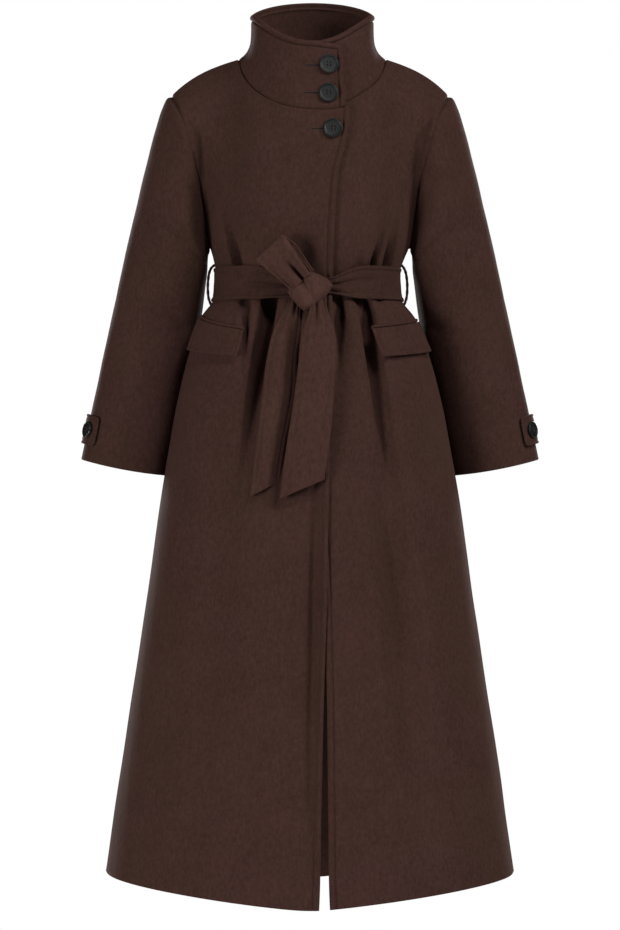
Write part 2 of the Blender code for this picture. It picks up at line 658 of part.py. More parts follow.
def belt_keeper(name, hand, material, collection):
    """The cord-like loop at the side seam that the belt runs through."""
    top_z, low_z = BELT_TOP + 0.0065, BELT_BOTTOM - 0.0060
    out = side_x(hand, WAIST) + KEEPER_STAND_OFF
    start = side_x(hand, top_z) + KEEPER_THICKNESS / 2
    end = side_x(hand, low_z) + KEEPER_THICKNESS / 2
    path = ((start, top_z), (out - 0.003, top_z - 0.004), (out, top_z - 0.011),
            (out + 0.002, WAIST), (out + 0.007, low_z + 0.011), (end + 0.001, low_z))
    curve = bpy.data.curves.new(name, "CURVE")
    curve.dimensions = "3D"
    curve.bevel_depth = KEEPER_THICKNESS / 2
    curve.bevel_resolution = 1
    curve.use_fill_caps = True
    line = curve.splines.new("POLY")
    line.points.add(len(path) - 1)
    for point, (x, z) in zip(line.points, path):
        point.co = (hand * x, 0.0, z, 1.0)
    curve.materials.append(material)
    made = bpy.data.objects.new(name, curve)
    collection.objects.link(made)
    return made


def sleeve_surface(angle, place):
    """A grid of the left sleeve and its outward normals."""
    grid = sleeve_points(angle, place)
    return grid, -normals_of(grid)


def sleeve_tab(name, hand, material, collection):
    """The strap round the outside of the cuff, with a rounded front end."""
    share = np.linspace(0.0, 1.0, 12)[None, :]
    width = np.linspace(-1.0, 1.0, 5)[:, None]
    middle, half = sum(TAB_PLACES) / 2, (TAB_PLACES[1] - TAB_PLACES[0]) / 2
    angle = TAB_FRONT_ANGLE + 0.07 * width ** 4 * (1 - share) ** 2
    angle = angle + (TAB_BACK_ANGLE - TAB_FRONT_ANGLE) * share
    grid, normal = sleeve_surface(angle, middle + half * width + 0.0 * share)
    lift = TAB_LIFT * (1 - share) + 2 * SEAM * share
    inner = grid + lift[..., None] * normal
    outer = inner + DOUBLE_CLOTH * normal
    inner[..., 0] *= hand
    outer[..., 0] *= hand
    return shell(name, outer, inner, material, collection)


def button_cutter(radius, cutters):
    """Four short rods that pierce the holes of a button."""
    points, faces = [], []
    for hole_x in (-1, 1):
        for hole_y in (-1, 1):
            first = len(points)
            for z in (-0.2, 0.6):
                for step in range(6):
                    turn = math.radians(60.0 * step)
                    points.append((radius * (hole_x * HOLE_OFFSET + HOLE_RADIUS * math.cos(turn)),
                                   radius * (hole_y * HOLE_OFFSET + HOLE_RADIUS * math.sin(turn)),
                                   radius * z))
            faces.append([first + step for step in range(5, -1, -1)])
            faces.append([first + 6 + step for step in range(6)])
            for step in range(6):
                after = (step + 1) % 6
                faces.append([first + step, first + after, first + 6 + after, first + 6 + step])
    mesh = bpy.data.meshes.new("button_holes")
    mesh.from_pydata(points, [], faces)
    made = bpy.data.objects.new("button_holes", mesh)
    made.hide_render = True
    made.display_type = "WIRE"
    cutters.objects.link(made)
    return made


def button(name, point, normal, radius, material, collection, cutters):
    """A four-hole button with a raised rim, lying on a point of the cloth."""
    mesh = bpy.data.meshes.new(name)
    outline = [(radius * row.out, 0.0, radius * row.up) for row in BUTTON_PROFILE]
    mesh.from_pydata(outline, [(k, k + 1) for k in range(len(outline) - 1)], [])
    mesh.materials.append(material)
    made = bpy.data.objects.new(name, mesh)
    collection.objects.link(made)
    turn = Vector(normal).to_track_quat("Z", "Y").to_euler()
    made.location = Vector(point) + Vector(normal) * SEAM
    made.rotation_euler = turn
    lathe = made.modifiers.new("turned", "SCREW")
    lathe.axis = "Z"
    lathe.steps = 18
    lathe.render_steps = 18
    lathe.use_merge_vertices = True
    lathe.merge_threshold = 0.00005
    lathe.use_normal_calculate = True
    holes = button_cutter(radius, cutters)
    holes.location = made.location
    holes.rotation_euler = turn
    pierce = made.modifiers.new("holes", "BOOLEAN")
    pierce.operation = "DIFFERENCE"
    pierce.solver = "EXACT"
    pierce.object = holes
    return made


def collar_spot(x, up):
    """A point of the collar's over end and its outward normal."""
    angle = math.asin(x / 0.0985)
    step = 0.02
    grid = collar_points(np.array([[angle + step, angle, angle - step]]),
                         np.array([[up - step], [up], [up + step]]))
    normal = normals_of(grid)[1, 1]
    return grid[1, 1], normal if normal[1] < 0 else -normal


def chest_spot(x, z):
    """The point of the over front nearest a place seen from the front, and its normal."""
    grid = half_panel(-1, -1, "over")
    normal = normals_of(grid)
    away = np.hypot(grid[..., 0] - x, grid[..., 2] - z)
    row, column = np.unravel_index(np.argmin(away), away.shape)
    facing = normal[row, column]
    point = grid[row, column] + (x - grid[row, column, 0], 0.0, z - grid[row, column, 2])
    point[1] = grid[row, column, 1] - ((point - grid[row, column]) @ facing) / facing[1]
    return point, facing if facing[1] < 0 else -facing


def buttons(material, collection, cutters):
    top, top_normal = collar_spot(0.0279, 0.69)
    low, low_normal = collar_spot(0.0270, 0.26)
    chest, chest_normal = chest_spot(0.0338, -0.1100)
    button("button_collar_top", top, top_normal, BUTTON_RADIUS, material, collection, cutters)
    button("button_collar_low", low, low_normal, BUTTON_RADIUS, material, collection, cutters)
    button("button_chest", chest, chest_normal, BUTTON_RADIUS, material, collection, cutters)
    angle = CUFF_BUTTON_ANGLE + np.array([[-0.02, 0.0, 0.02]])
    place = sum(TAB_PLACES) / 2 + np.array([[-0.01], [0.0], [0.01]])
    grid, normal = sleeve_surface(angle, place)
    along = (CUFF_BUTTON_ANGLE - TAB_FRONT_ANGLE) / (TAB_BACK_ANGLE - TAB_FRONT_ANGLE)
    lift = TAB_LIFT * (1 - along) + 2 * SEAM * along
    point = grid[1, 1] + (lift + DOUBLE_CLOTH) * normal[1, 1]
    for name, hand in (("button_cuff_right", -1), ("button_cuff_left", 1)):
        flipped = np.array((hand, 1.0, 1.0))
        button(name, point * flipped, normal[1, 1] * flipped, CUFF_BUTTON_RADIUS,
               material, collection, cutters)


def main():
    clear_scene()
    parts = new_collection("coat")
    cutters = new_collection("cutters")
    wool = new_material("wool", WOOL, 0.92)
    belt_wool = new_material("belt_wool", WOOL_BELT, 0.90)
    horn = new_material("horn", HORN, 0.38)
    front_right(wool, parts)
    front_left(wool, parts)
    back(wool, parts)
    sleeve("sleeve_right", -1, wool, parts)
    sleeve("sleeve_left", 1, wool, parts)
    collar(wool, parts)
    belt_band(belt_wool, parts)
    belt_knot(belt_wool, parts)
    belt_loop(belt_wool, parts)
    belt_tail("belt_tail_rear", REAR_TAIL, REAR_TAIL_SLANT, 0.0010, belt_wool, parts)
    belt_tail("belt_tail_front", FRONT_TAIL, FRONT_TAIL_SLANT, 0.0043, belt_wool, parts)
    for word, hand in (("right", -1), ("left", 1)):
        flap("flap_" + word, hand, wool, parts)
        welt("welt_" + word, hand, wool, parts)
        belt_keeper("keeper_" + word, hand, belt_wool, parts)
        sleeve_tab("tab_" + word, hand, wool, parts)
    buttons(horn, parts, cutters)


main()
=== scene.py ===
"""Dresses the long belted wool coat: cloth, sewing, buttons, materials, light and camera.

Metres, +Z up, in the frame of the CAD row: the front faces -Y and the wearer's right is at -X.
"""
import math
from collections import namedtuple

import bpy
import numpy as np
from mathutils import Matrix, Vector


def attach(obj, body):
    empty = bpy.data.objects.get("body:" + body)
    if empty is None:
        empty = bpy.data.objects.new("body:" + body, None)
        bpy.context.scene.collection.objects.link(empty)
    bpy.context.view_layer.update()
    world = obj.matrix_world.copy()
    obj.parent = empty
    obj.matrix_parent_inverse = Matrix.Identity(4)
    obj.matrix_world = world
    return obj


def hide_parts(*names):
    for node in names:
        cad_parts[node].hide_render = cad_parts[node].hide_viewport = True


# Cloth walls and the small spaces between layers.
CLOTH = 0.0024
EDGE_CLOTH = 0.0036         # turned edges of the fronts and collar
DOUBLE_CLOTH = 0.0032       # belt, flaps and tabs
UNDERLAP = 0.0048

# The body and sleeves. Most of these values are the CAD row's.
HEM = -1.2135
HEM_DIP = 0.0350
WAIST = -0.3350
ARMPIT = -0.2800
SQUARENESS = 2.2
NECK_HALF_WIDTH = 0.1070
NECK_FRONT_DEPTH = 0.0980
NECK_BACK_DEPTH = 0.0780
NECK_SIDE_HEIGHT = 0.0030
NECK_FRONT_DROP = 0.0820
NECK_BACK_RISE = 0.0180
NECK_SHARE = 0.60
NECK_LEFT_PULL = 0.0070
SHOULDER_END = 0.2085
SHOULDER_SLOPE = 0.0300
SHOULDER_ROUND = 0.0240
ARMHOLE_DEPTH = 0.0600
CUFF_DIP = 0.0030
SLEEVE_SQUARENESS = 0.75
HEAD_ROLL = 0.0012          # swell of a sleeve beside its seam
HEAD_ROLL_AWAY = 0.0100
HEAD_ROLL_WIDTH = 0.0060
CUFF_TURNING = 0.0008       # how much thicker the turned cuff is
CUFF_TURNING_HEIGHT = 0.0400
HEAD_TURNING = 0.0070       # cloth of a sleeve that goes in past its seam
HEAD_TURNING_DROP = 0.0016
SLEEVE_COLUMNS = 104

# The collar.
RIM_HALF_WIDTH = 0.0920
RIM_SHIFT = 0.0035
RIM_FRONT_DEPTH = 0.0860
RIM_BACK_DEPTH = 0.0700
RIM_SIDE_HEIGHT = 0.0700
RIM_FRONT_DROP = 0.0475
RIM_BACK_RISE = 0.0280
COLLAR_OVER_END = math.radians(28.8)
OVER_END_DROP = 0.0060
OVER_END_LEAN = 0.6
RIM_FALL = 0.0090           # how far the rim sinks towards its over end
RIM_FALL_START = math.radians(4.0)
RIM_CORNER = math.radians(3.6)
RIM_CORNER_FALL = 0.0045
RIM_ROLL = 0.0034           # how much thicker the rolled rim is
RIM_ROLL_WIDTH = 0.0090
COLLAR_HEIGHT = 0.092
OVER_END_RADIUS = 0.108
UNDER_END_RADIUS = 0.105

# The belt, pockets, tabs and buttons.
BELT_TOP = -0.3090
BELT_BOTTOM = -0.3615
BELT_WIDTH = 0.0520
BELT_LIFT = 0.0016
BELT_PINCH_RIGHT = 0.30     # share of its width that the belt loses beside the knot
BELT_PINCH_LEFT = 0.52
BELT_PINCH_START = 0.18     # radians round the body from the middle
BELT_PINCH_REACH = 0.24
BELT_SAG = 0.006
LOOP_START = (-0.0170, -0.3330)
LOOP_LEAN = math.radians(42.0)
LOOP_BASE_WIDTH = 0.0380
LOOP_TIP_WIDTH = 0.0540
FLAP_SIDE_ANGLE = math.radians(80.0)
FLAP_WIDTH = 0.095
FLAP_HEIGHT = 0.046
FLAP_LIFT = 0.0042          # how far its lower edge stands off the skirt
WELT_HEIGHT = 0.0050
WELT_GAP = 0.0004           # between a flap and the welt above it
WELT_SWELL = 0.0042
KEEPER_THICKNESS = 0.0040
KEEPER_STAND_OFF = 0.0115
KEEPER_RINGS = 60
KEEPER_SIDES = 16
TAB_FRONT_ANGLE = math.radians(134.5)
TAB_BACK_ANGLE = math.radians(248.0)
TAB_PLACES = (0.880, 0.958)
TAB_LENGTH = 0.110
TAB_WIDTH = 0.048
TAB_LIFT = 0.0022
LEAST_LIFT = 0.0008         # of a flap or tab where it is sewn on
CUFF_BUTTON_ANGLE = math.radians(152.0)
BUTTON_RADIUS = 0.0145
CUFF_BUTTON_RADIUS = 0.0125
BUTTON_GAP = 0.0004         # between a button and the cloth
COLLAR_RADIUS = 0.0985      # about the collar's radius behind its buttons

# Sewing.
STITCH_PITCH = 0.0038
STITCH_LENGTH = 0.0027
STITCH_RADIUS = 0.00024
EDGE_STITCH = 0.0095        # from a front edge or collar edge to its line of stitches
BELT_STITCH = 0.0070
TAB_STITCH = 0.0050
GROOVE_WIDTH = 0.0014
SEAM_DEPTH = 0.0028
COLLAR_SEAM_DEPTH = 0.0016
SEAM_WIDTH = 0.0022
SEAM_ROLL = 0.35            # height of the roll beside a seam, as a share of the seam's depth
SEAM_ROLL_AWAY = 0.0065
SEAM_ROLL_WIDTH = 0.0035
SEAM_CALM = 0.0110          # creases die out over this distance to a seam
EDGE_CALM = 0.0120          # and get weaker over about this distance to a front edge
FACING_FADE = 0.0300        # the turned cloth of a front thins out between half and 1.5 times this
BUTTON_THREAD_RADIUS = 0.00045

# The relief of a turned edge: how far in it is stitched, its swell and the groove of its stitches.
Sewing = namedtuple("Sewing", "line ridge groove")
FRONT_SEWING = Sewing(EDGE_STITCH, 0.0020, 0.0017)
COLLAR_SEWING = Sewing(EDGE_STITCH, 0.0015, 0.0022)
BELT_SEWING = Sewing(BELT_STITCH, 0.0004, 0.0006)
BOW_SEWING = Sewing(BELT_STITCH, 0.0004, 0.0007)
FLAP_SEWING = Sewing(TAB_STITCH, 0.0005, 0.0007)
TAB_SEWING = Sewing(TAB_STITCH, 0.0005, 0.0006)

# One thread of a stitch line: places along it as shares of its length, then its thickness and
# its height off the cloth as shares of the thread's radius.
ThreadPoint = namedtuple("ThreadPoint", "along size lift")
STITCH_SHAPE = (
    ThreadPoint(-0.5, 0.3, -1.6),
    ThreadPoint(-0.3, 0.9, 0.1),
    ThreadPoint(0.0, 1.0, 0.6),
    ThreadPoint(0.3, 0.9, 0.1),
    ThreadPoint(0.5, 0.3, -1.6),
)
THREAD_SIDES = 5

# Small unevenness of the cloth: how high it is, how long its waves are, and its random seed.
Ripple = namedtuple("Ripple", "height size seed")
BODY_RIPPLES = (Ripple(0.0007, 0.16, 5), Ripple(0.0003, 0.05, 11))
SLEEVE_RIPPLES = (Ripple(0.0005, 0.12, 3), Ripple(0.0003, 0.045, 9))
COLLAR_RIPPLES = (Ripple(0.0006, 0.07, 21),)
BELT_RIPPLES = (Ripple(0.0005, 0.09, 31),)
KNOT_RIPPLES = (Ripple(0.0004, 0.025, 41),)
TAIL_RIPPLES = (Ripple(0.0010, 0.10, 51),)
FLAP_RIPPLES = (Ripple(0.0010, 0.07, 61),)
WAVES = 7

# Camera: the photo's 1.5 mm to a pixel at the side seams, seen from 5 m.
CAMERA_DISTANCE = 5.0
CAMERA_HEIGHT = -0.6045
CAMERA_LENS = 129.03
CAMERA_SENSOR = 36.0
FLOOR_HEIGHT = -1.95
FLOOR_RADIUS = 2.9
FLOOR_SIDES = 96

# Distances at which a grid has points: from a front or collar edge, a seam, a belt edge, the edge
# of a flap or tab, the hem, the cut end of the belt, and the middle of the back.
EDGE_STEPS = (0.0, 0.0003, 0.0008, 0.0015, 0.0026, 0.0040, 0.0054, 0.0068, 0.0078, 0.0085, 0.0090,
              0.0095, 0.0100, 0.0105, 0.0112, 0.0124, 0.0142, 0.0170)
SEAM_STEPS = (0.0, 0.0007, 0.0016, 0.0028, 0.0045, 0.0075, 0.0120)
BELT_STEPS = (0.0, 0.0004, 0.0010, 0.0018, 0.0032, 0.0050, 0.0060, 0.0065, 0.0070, 0.0075, 0.0082,
              0.0100)
SMALL_STEPS = (0.0, 0.0004, 0.0010, 0.0018, 0.0030, 0.0042, 0.0050, 0.0058, 0.0075)
HEM_STEPS = (0.0, 0.0004, 0.0010, 0.0018, 0.0030, 0.0048, 0.0075, 0.0115, 0.0170, 0.0240)
TAIL_STEPS = (0.0100, 0.0060, 0.0034, 0.0018, 0.0008, 0.0003, 0.0)
MIDDLE_STEPS = (0.0,)

# Shares at which a grid has points: up to the neck seam, down from a sleeve's head, up from its cuff
# and up from the neck seam of the collar. Then the columns of a panel between its close ones.
NECK_RISES = (0.945, 0.958, 0.969, 0.978, 0.985, 0.9905, 0.995, 0.998, 1.0)
HEAD_SHARES = (0.0, 0.0012, 0.003, 0.006, 0.010, 0.016, 0.024, 0.034)
CUFF_SHARES = (0.030, 0.020, 0.013, 0.008, 0.0045, 0.0025, 0.0012, 0.0005, 0.0)
COLLAR_SHARES = (-0.015, 0.0, 0.010, 0.022, 0.036, 0.055)
FRONT_COLUMNS = 140
HALF_BACK_COLUMNS = 105

# How a body grid is evened out, in rows, columns and passes.
BEND_ROWS = 11.0
BEND_PASSES = 40
NECK_PASSES = 160
SIDE_COLUMNS = 9.0
TOP_ROWS = 16.0

# Rings of the body from the hem up: half the width, the depths in front and behind, and how far the
# ring is shifted to the wearer's left.
Level = namedtuple("Level", "height half_width front_depth back_depth shift")
BODY_LEVELS = (
    Level(-1.2135, 0.3050, 0.2030, 0.2030, 0.0000),
    Level(-1.0470, 0.2805, 0.1880, 0.1880, 0.0000),
    Level(-0.8070, 0.2440, 0.1660, 0.1660, 0.0000),
    Level(-0.6270, 0.2180, 0.1500, 0.1480, 0.0000),
    Level(-0.5100, 0.1970, 0.1390, 0.1340, -0.0010),
    Level(-0.4400, 0.1790, 0.1290, 0.1210, -0.0020),
    Level(-0.3760, 0.1545, 0.1160, 0.1040, -0.0035),
    Level(-0.3600, 0.1405, 0.1085, 0.0955, -0.0037),
    Level(-0.3350, 0.1355, 0.1040, 0.0900, -0.0037),
    Level(-0.3100, 0.1365, 0.1110, 0.0965, -0.0033),
    Level(-0.2950, 0.1418, 0.1180, 0.1035, -0.0018),
    Level(-0.2800, 0.1500, 0.1225, 0.1090, 0.0000),
)

# The front edges from the hem up: where the over and the under edge lie across, and the share of the
# underlap by which the under front is moved in.
Edge = namedtuple("Edge", "height over under tuck")
FRONT_EDGES = (
    Edge(-1.2500, 0.0110, 0.0312, 0.00),
    Edge(-1.2050, 0.0137, 0.0283, 0.00),
    Edge(-1.0900, 0.0163, 0.0264, 0.00),
    Edge(-0.9300, 0.0202, 0.0246, 0.30),
    Edge(-0.8000, 0.0247, 0.0215, 1.00),
    Edge(-0.6830, 0.0271, 0.0150, 1.00),
    Edge(-0.6000, 0.0288, 0.0070, 1.00),
    Edge(-0.4300, 0.0320, -0.0080, 1.00),
    Edge(-0.3350, 0.0350, -0.0200, 1.00),
    Edge(-0.2775, 0.0356, -0.0260, 1.00),
    Edge(-0.2250, 0.0380, -0.0280, 1.00),
    Edge(-0.1710, 0.0425, -0.0290, 1.00),
    Edge(-0.1275, 0.0527, -0.0300, 1.00),
    Edge(-0.0850, 0.0586, -0.0300, 1.00),
)

# Broad troughs of the body, as in the CAD row: places and widths are shares of the half width.
Fold = namedtuple("Fold", "across width depth middle up down")
FRONT_FOLDS = (
    Fold(-0.80, 0.060, 0.0060, -0.320, 0.070, 0.020),
    Fold(-0.69, 0.050, 0.0050, -0.352, 0.020, 0.035),
    Fold(-0.425, 0.075, 0.0095, -0.345, 0.025, 0.170),
    Fold(-0.09, 0.120, 0.0040, -0.310, 0.090, 0.030),
    Fold(-0.20, 0.150, 0.0060, -0.800, 0.150, 0.220),
    Fold(0.30, 0.045, 0.0060, -0.350, 0.030, 0.060),
    Fold(0.575, 0.055, 0.0100, -0.350, 0.020, 0.170),
    Fold(0.70, 0.050, 0.0050, -0.320, 0.040, 0.020),
    Fold(0.83, 0.060, 0.0055, -0.320, 0.060, 0.020),
)
BACK_FOLDS = (
    Fold(-0.72, 0.070, 0.0080, -0.340, 0.060, 0.140),
    Fold(-0.38, 0.070, 0.0090, -0.340, 0.080, 0.180),
    Fold(0.04, 0.080, 0.0070, -0.345, 0.050, 0.200),
    Fold(0.36, 0.060, 0.0090, -0.340, 0.070, 0.150),
    Fold(0.74, 0.070, 0.0070, -0.340, 0.060, 0.160),
)

# Creases placed one by one on the body: where one is deepest, how far its line moves across for
# each metre up, its half width, its depth and its reach up and down.
Crease = namedtuple("Crease", "x z lean width depth up down")
FRONT_CREASES = (
    Crease(-0.1055, -0.320, -0.27, 0.0046, 0.0300, 0.050, 0.030),
    Crease(-0.1200, -0.265, -0.27, 0.0060, 0.0080, 0.045, 0.030),
    Crease(-0.0960, -0.385, 0.00, 0.0050, 0.0220, 0.030, 0.052),
    Crease(-0.0610, -0.375, 0.17, 0.0065, 0.0500, 0.040, 0.080),
    Crease(-0.0780, -0.480, 0.14, 0.0075, 0.0330, 0.075, 0.105),
    Crease(-0.0280, -0.480, 0.10, 0.0090, 0.0240, 0.080, 0.130),
    Crease(-0.0100, -0.285, 0.14, 0.0170, 0.0060, 0.035, 0.030),
    Crease(0.0430, -0.372, 0.02, 0.0045, 0.0240, 0.030, 0.055),
    Crease(0.0830, -0.375, -0.11, 0.0055, 0.0200, 0.040, 0.120),
    Crease(0.1020, -0.500, -0.15, 0.0078, 0.0300, 0.115, 0.120),
    Crease(0.0930, -0.320, 0.28, 0.0048, 0.0260, 0.045, 0.030),
    Crease(0.1130, -0.320, 0.23, 0.0048, 0.0280, 0.060, 0.030),
    Crease(0.0050, -0.830, 0.02, 0.0075, 0.0150, 0.200, 0.250),
    Crease(-0.0080, -0.830, 0.02, 0.0190, 0.0150, 0.200, 0.250),
    Crease(-0.1560, -0.190, -0.12, 0.0120, 0.0048, 0.080, 0.060),
    Crease(0.1560, -0.195, 0.12, 0.0120, 0.0030, 0.080, 0.060),
    Crease(-0.1400, -0.800, 0.10, 0.0300, 0.0080, 0.250, 0.250),
    Crease(0.1260, -0.780, -0.12, 0.0210, 0.0340, 0.180, 0.230),
    Crease(0.0720, -0.980, -0.05, 0.0240, 0.0060, 0.250, 0.250),
)
BACK_CREASES = (
    Crease(-0.1020, -0.318, -0.20, 0.0055, 0.0200, 0.055, 0.030),
    Crease(0.1000, -0.318, 0.24, 0.0050, 0.0220, 0.045, 0.030),
    Crease(-0.0580, -0.385, 0.10, 0.0080, 0.0270, 0.045, 0.100),
    Crease(0.0560, -0.380, -0.11, 0.0070, 0.0280, 0.040, 0.090),
    Crease(0.0080, -0.375, 0.00, 0.0050, 0.0190, 0.030, 0.060),
    Crease(-0.0050, -0.310, 0.06, 0.0085, 0.0120, 0.050, 0.030),
    Crease(-0.0880, -0.520, 0.13, 0.0110, 0.0180, 0.090, 0.120),
    Crease(0.0900, -0.500, -0.14, 0.0100, 0.0190, 0.080, 0.120),
    Crease(-0.1630, -0.125, -0.10, 0.0090, 0.0050, 0.060, 0.060),
    Crease(0.1630, -0.140, 0.10, 0.0090, 0.0050, 0.060, 0.060),
    Crease(-0.0600, -0.800, 0.05, 0.0260, 0.0120, 0.220, 0.280),
    Crease(0.0850, -0.840, -0.06, 0.0240, 0.0120, 0.240, 0.260),
    Crease(0.0150, -0.980, 0.02, 0.0300, 0.0070, 0.260, 0.260),
)

# The left sleeve from its head to its cuff: its outer and inner lines, half its depth and how far it
# is shifted to the back.
Section = namedtuple("Section", "place outer_x outer_z inner_x inner_z half_depth back_shift")
SLEEVE_SECTIONS = (
    Section(0.00, 0.2085, -0.0510, 0.1500, -0.2800, 0.0600, 0.000),
    Section(0.04, 0.2190, -0.0640, 0.1525, -0.2880, 0.0650, 0.004),
    Section(0.10, 0.2310, -0.0980, 0.1535, -0.2980, 0.0700, 0.012),
    Section(0.18, 0.2440, -0.1450, 0.1545, -0.3130, 0.0740, 0.022),
    Section(0.30, 0.2600, -0.2070, 0.1580, -0.3360, 0.0750, 0.034),
    Section(0.45, 0.2785, -0.2820, 0.1640, -0.3780, 0.0730, 0.046),
    Section(0.58, 0.2950, -0.3570, 0.1720, -0.4250, 0.0700, 0.054),
    Section(0.74, 0.3150, -0.4470, 0.1875, -0.4970, 0.0670, 0.058),
    Section(0.87, 0.3315, -0.5220, 0.2015, -0.5620, 0.0640, 0.060),
    Section(1.00, 0.3470, -0.5960, 0.2150, -0.6210, 0.0620, 0.060),
)

# Creases of a sleeve: the angle round it in degrees, the place along it, and how the line turns.
SleeveCrease = namedtuple("SleeveCrease", "angle place turn width depth reach")
SLEEVE_CREASES = (
    SleeveCrease(62.0, 0.22, 60.0, 11.0, 0.0030, 0.12),
    SleeveCrease(95.0, 0.46, -50.0, 16.0, 0.0022, 0.10),
    SleeveCrease(48.0, 0.55, 40.0, 12.0, 0.0022, 0.08),
    SleeveCrease(120.0, 0.72, 30.0, 20.0, 0.0016, 0.14),
    SleeveCrease(262.0, 0.40, -60.0, 14.0, 0.0030, 0.12),
    SleeveCrease(290.0, 0.52, 50.0, 12.0, 0.0026, 0.09),
    SleeveCrease(240.0, 0.66, 30.0, 18.0, 0.0018, 0.14),
)

# Corners of each pocket flap: the front ones across and up, the side ones by height alone.
Pocket = namedtuple("Pocket", "hand front_top front_low side_top side_low")
RIGHT_POCKET = Pocket(-1, (0.0970, -0.4070), (0.1045, -0.4465), -0.3865, -0.4345)
LEFT_POCKET = Pocket(1, (0.0900, -0.4050), (0.1035, -0.4470), -0.3920, -0.4375)

# The outlines of the two belt ends, from the knot down.
Strip = namedtuple("Strip", "height left right")
REAR_STRIPS = (
    Strip(-0.350, -0.0280, -0.0080),
    Strip(-0.372, -0.0350, -0.0130),
    Strip(-0.402, -0.0520, -0.0120),
    Strip(-0.443, -0.0630, -0.0170),
    Strip(-0.505, -0.0710, -0.0200),
    Strip(-0.570, -0.0790, -0.0330),
    Strip(-0.640, -0.0885, -0.0430),
)
FRONT_STRIPS = (
    Strip(-0.352, 0.0000, 0.0210),
    Strip(-0.376, -0.0010, 0.0260),
    Strip(-0.410, -0.0115, 0.0370),
    Strip(-0.450, -0.0170, 0.0385),
    Strip(-0.505, -0.0240, 0.0355),
    Strip(-0.570, -0.0350, 0.0300),
    Strip(-0.640, -0.0450, 0.0215),
)

# A belt end: its outline, the slant of its cut, its lift off the skirt, its pleats at the knot, the
# roll of its face and how far its wearer's-left side falls back.
Pleat = namedtuple("Pleat", "place width depth reach")
Tail = namedtuple("Tail", "name strips slant lift pleats roll fall")
TAILS = (
    Tail("belt_tail_rear", REAR_STRIPS, 0.021, 0.0060,
         (Pleat(0.10, 0.11, 0.0090, 0.048), Pleat(-0.30, 0.10, 0.0020, 0.060)), 0.020, 0.015),
    Tail("belt_tail_front", FRONT_STRIPS, 0.028, 0.0170,
         (Pleat(-0.10, 0.09, 0.0100, 0.046), Pleat(0.32, 0.10, 0.0030, 0.050)), 0.016, 0.002),
)

# Pleats of the belt beside the knot: place and width are shares of the belt's width, and fans is 1
# for a pleat that fans out from the knot.
BandPleat = namedtuple("BandPleat", "place fans width height")
BAND_PLEATS = (
    BandPleat(0.04, 1.0, 0.06, -0.0036),
    BandPleat(-0.27, 1.0, 0.07, -0.0034),
    BandPleat(-0.12, 1.0, 0.09, 0.0022),
    BandPleat(0.22, 0.0, 0.12, 0.0016),
)
BAND_FAN = 0.090            # distance from the knot at which the fan is twice as wide
BAND_PLEAT_REACH = 0.075

# The bow loop, from the knot out and back: how far along it lies and how far off the front.
Turn = namedtuple("Turn", "place along lift")
LOOP_TURNS = (
    Turn(0.00, -0.0060, 0.0078),
    Turn(0.20, 0.0240, 0.0075),
    Turn(0.38, 0.0500, 0.0088),
    Turn(0.46, 0.0600, 0.0118),
    Turn(0.50, 0.0622, 0.0153),
    Turn(0.54, 0.0600, 0.0180),
    Turn(0.62, 0.0500, 0.0202),
    Turn(0.80, 0.0240, 0.0238),
    Turn(1.00, -0.0060, 0.0170),
)

# Folds along the bow loop's upper side, by their place across it: the deep one at the knot, the two
# swells and the one along its low edge.
LoopFold = namedtuple("LoopFold", "place width height")
KNOT_FOLD = LoopFold(0.16, 0.085, -0.0120)
HIGH_SWELL = LoopFold(0.36, 0.12, 0.0050)
LOW_SWELL = LoopFold(-0.12, 0.22, 0.0040)
LOW_FOLD = LoopFold(-0.40, 0.10, -0.0030)
LOOP_LENGTH = 0.0600
UNDER_SHIFT = 0.0075        # of the loop's under side across its upper side

# The knot's two turns: corners seen from the front, the first two where the strip starts, then how
# full the turn is, and its creases.
KnotCrease = namedtuple("KnotCrease", "place lean width depth")
KnotTurn = namedtuple("KnotTurn", "name corners depth creases")
KNOT_TURNS = (
    KnotTurn("cloth_knot_right",
             ((-0.0150, -0.3335), (-0.0005, -0.3170), (0.0395, -0.3385), (0.0045, -0.3800)), 0.0215,
             (KnotCrease(0.30, -0.25, 0.10, 0.0016), KnotCrease(0.66, 0.20, 0.07, 0.0014))),
    KnotTurn("cloth_knot_left",
             ((-0.0380, -0.3480), (-0.0105, -0.3265), (0.0175, -0.3660), (-0.0080, -0.3835)), 0.0195,
             (KnotCrease(0.62, -0.20, 0.08, 0.0012),)),
)

# Outline of the top of a button from its middle to its rim and under it, as shares of its radius.
ButtonPoint = namedtuple("ButtonPoint", "out up")
BUTTON_PROFILE = (
    ButtonPoint(0.02, 0.225),
    ButtonPoint(0.50, 0.225),
    ButtonPoint(0.76, 0.232),
    ButtonPoint(0.80, 0.250),
    ButtonPoint(0.84, 0.285),
    ButtonPoint(0.88, 0.305),
    ButtonPoint(0.93, 0.300),
    ButtonPoint(0.98, 0.260),
    ButtonPoint(1.00, 0.190),
    ButtonPoint(0.97, 0.090),
    ButtonPoint(0.86, 0.020),
    ButtonPoint(0.40, 0.000),
)
HOLE_OFFSET = 0.150
HOLE_RADIUS = 0.075
HOLE_DEPTH = 0.17
THREAD_ARCH = ((-1.0, 0.10), (-0.9, 0.20), (0.0, 0.235), (0.9, 0.20), (1.0, 0.10))
BUTTON_RINGS = 64
TOP_RINGS = 34              # rings of the top face, which the holes are sunk into
BUTTON_SIDES = 72

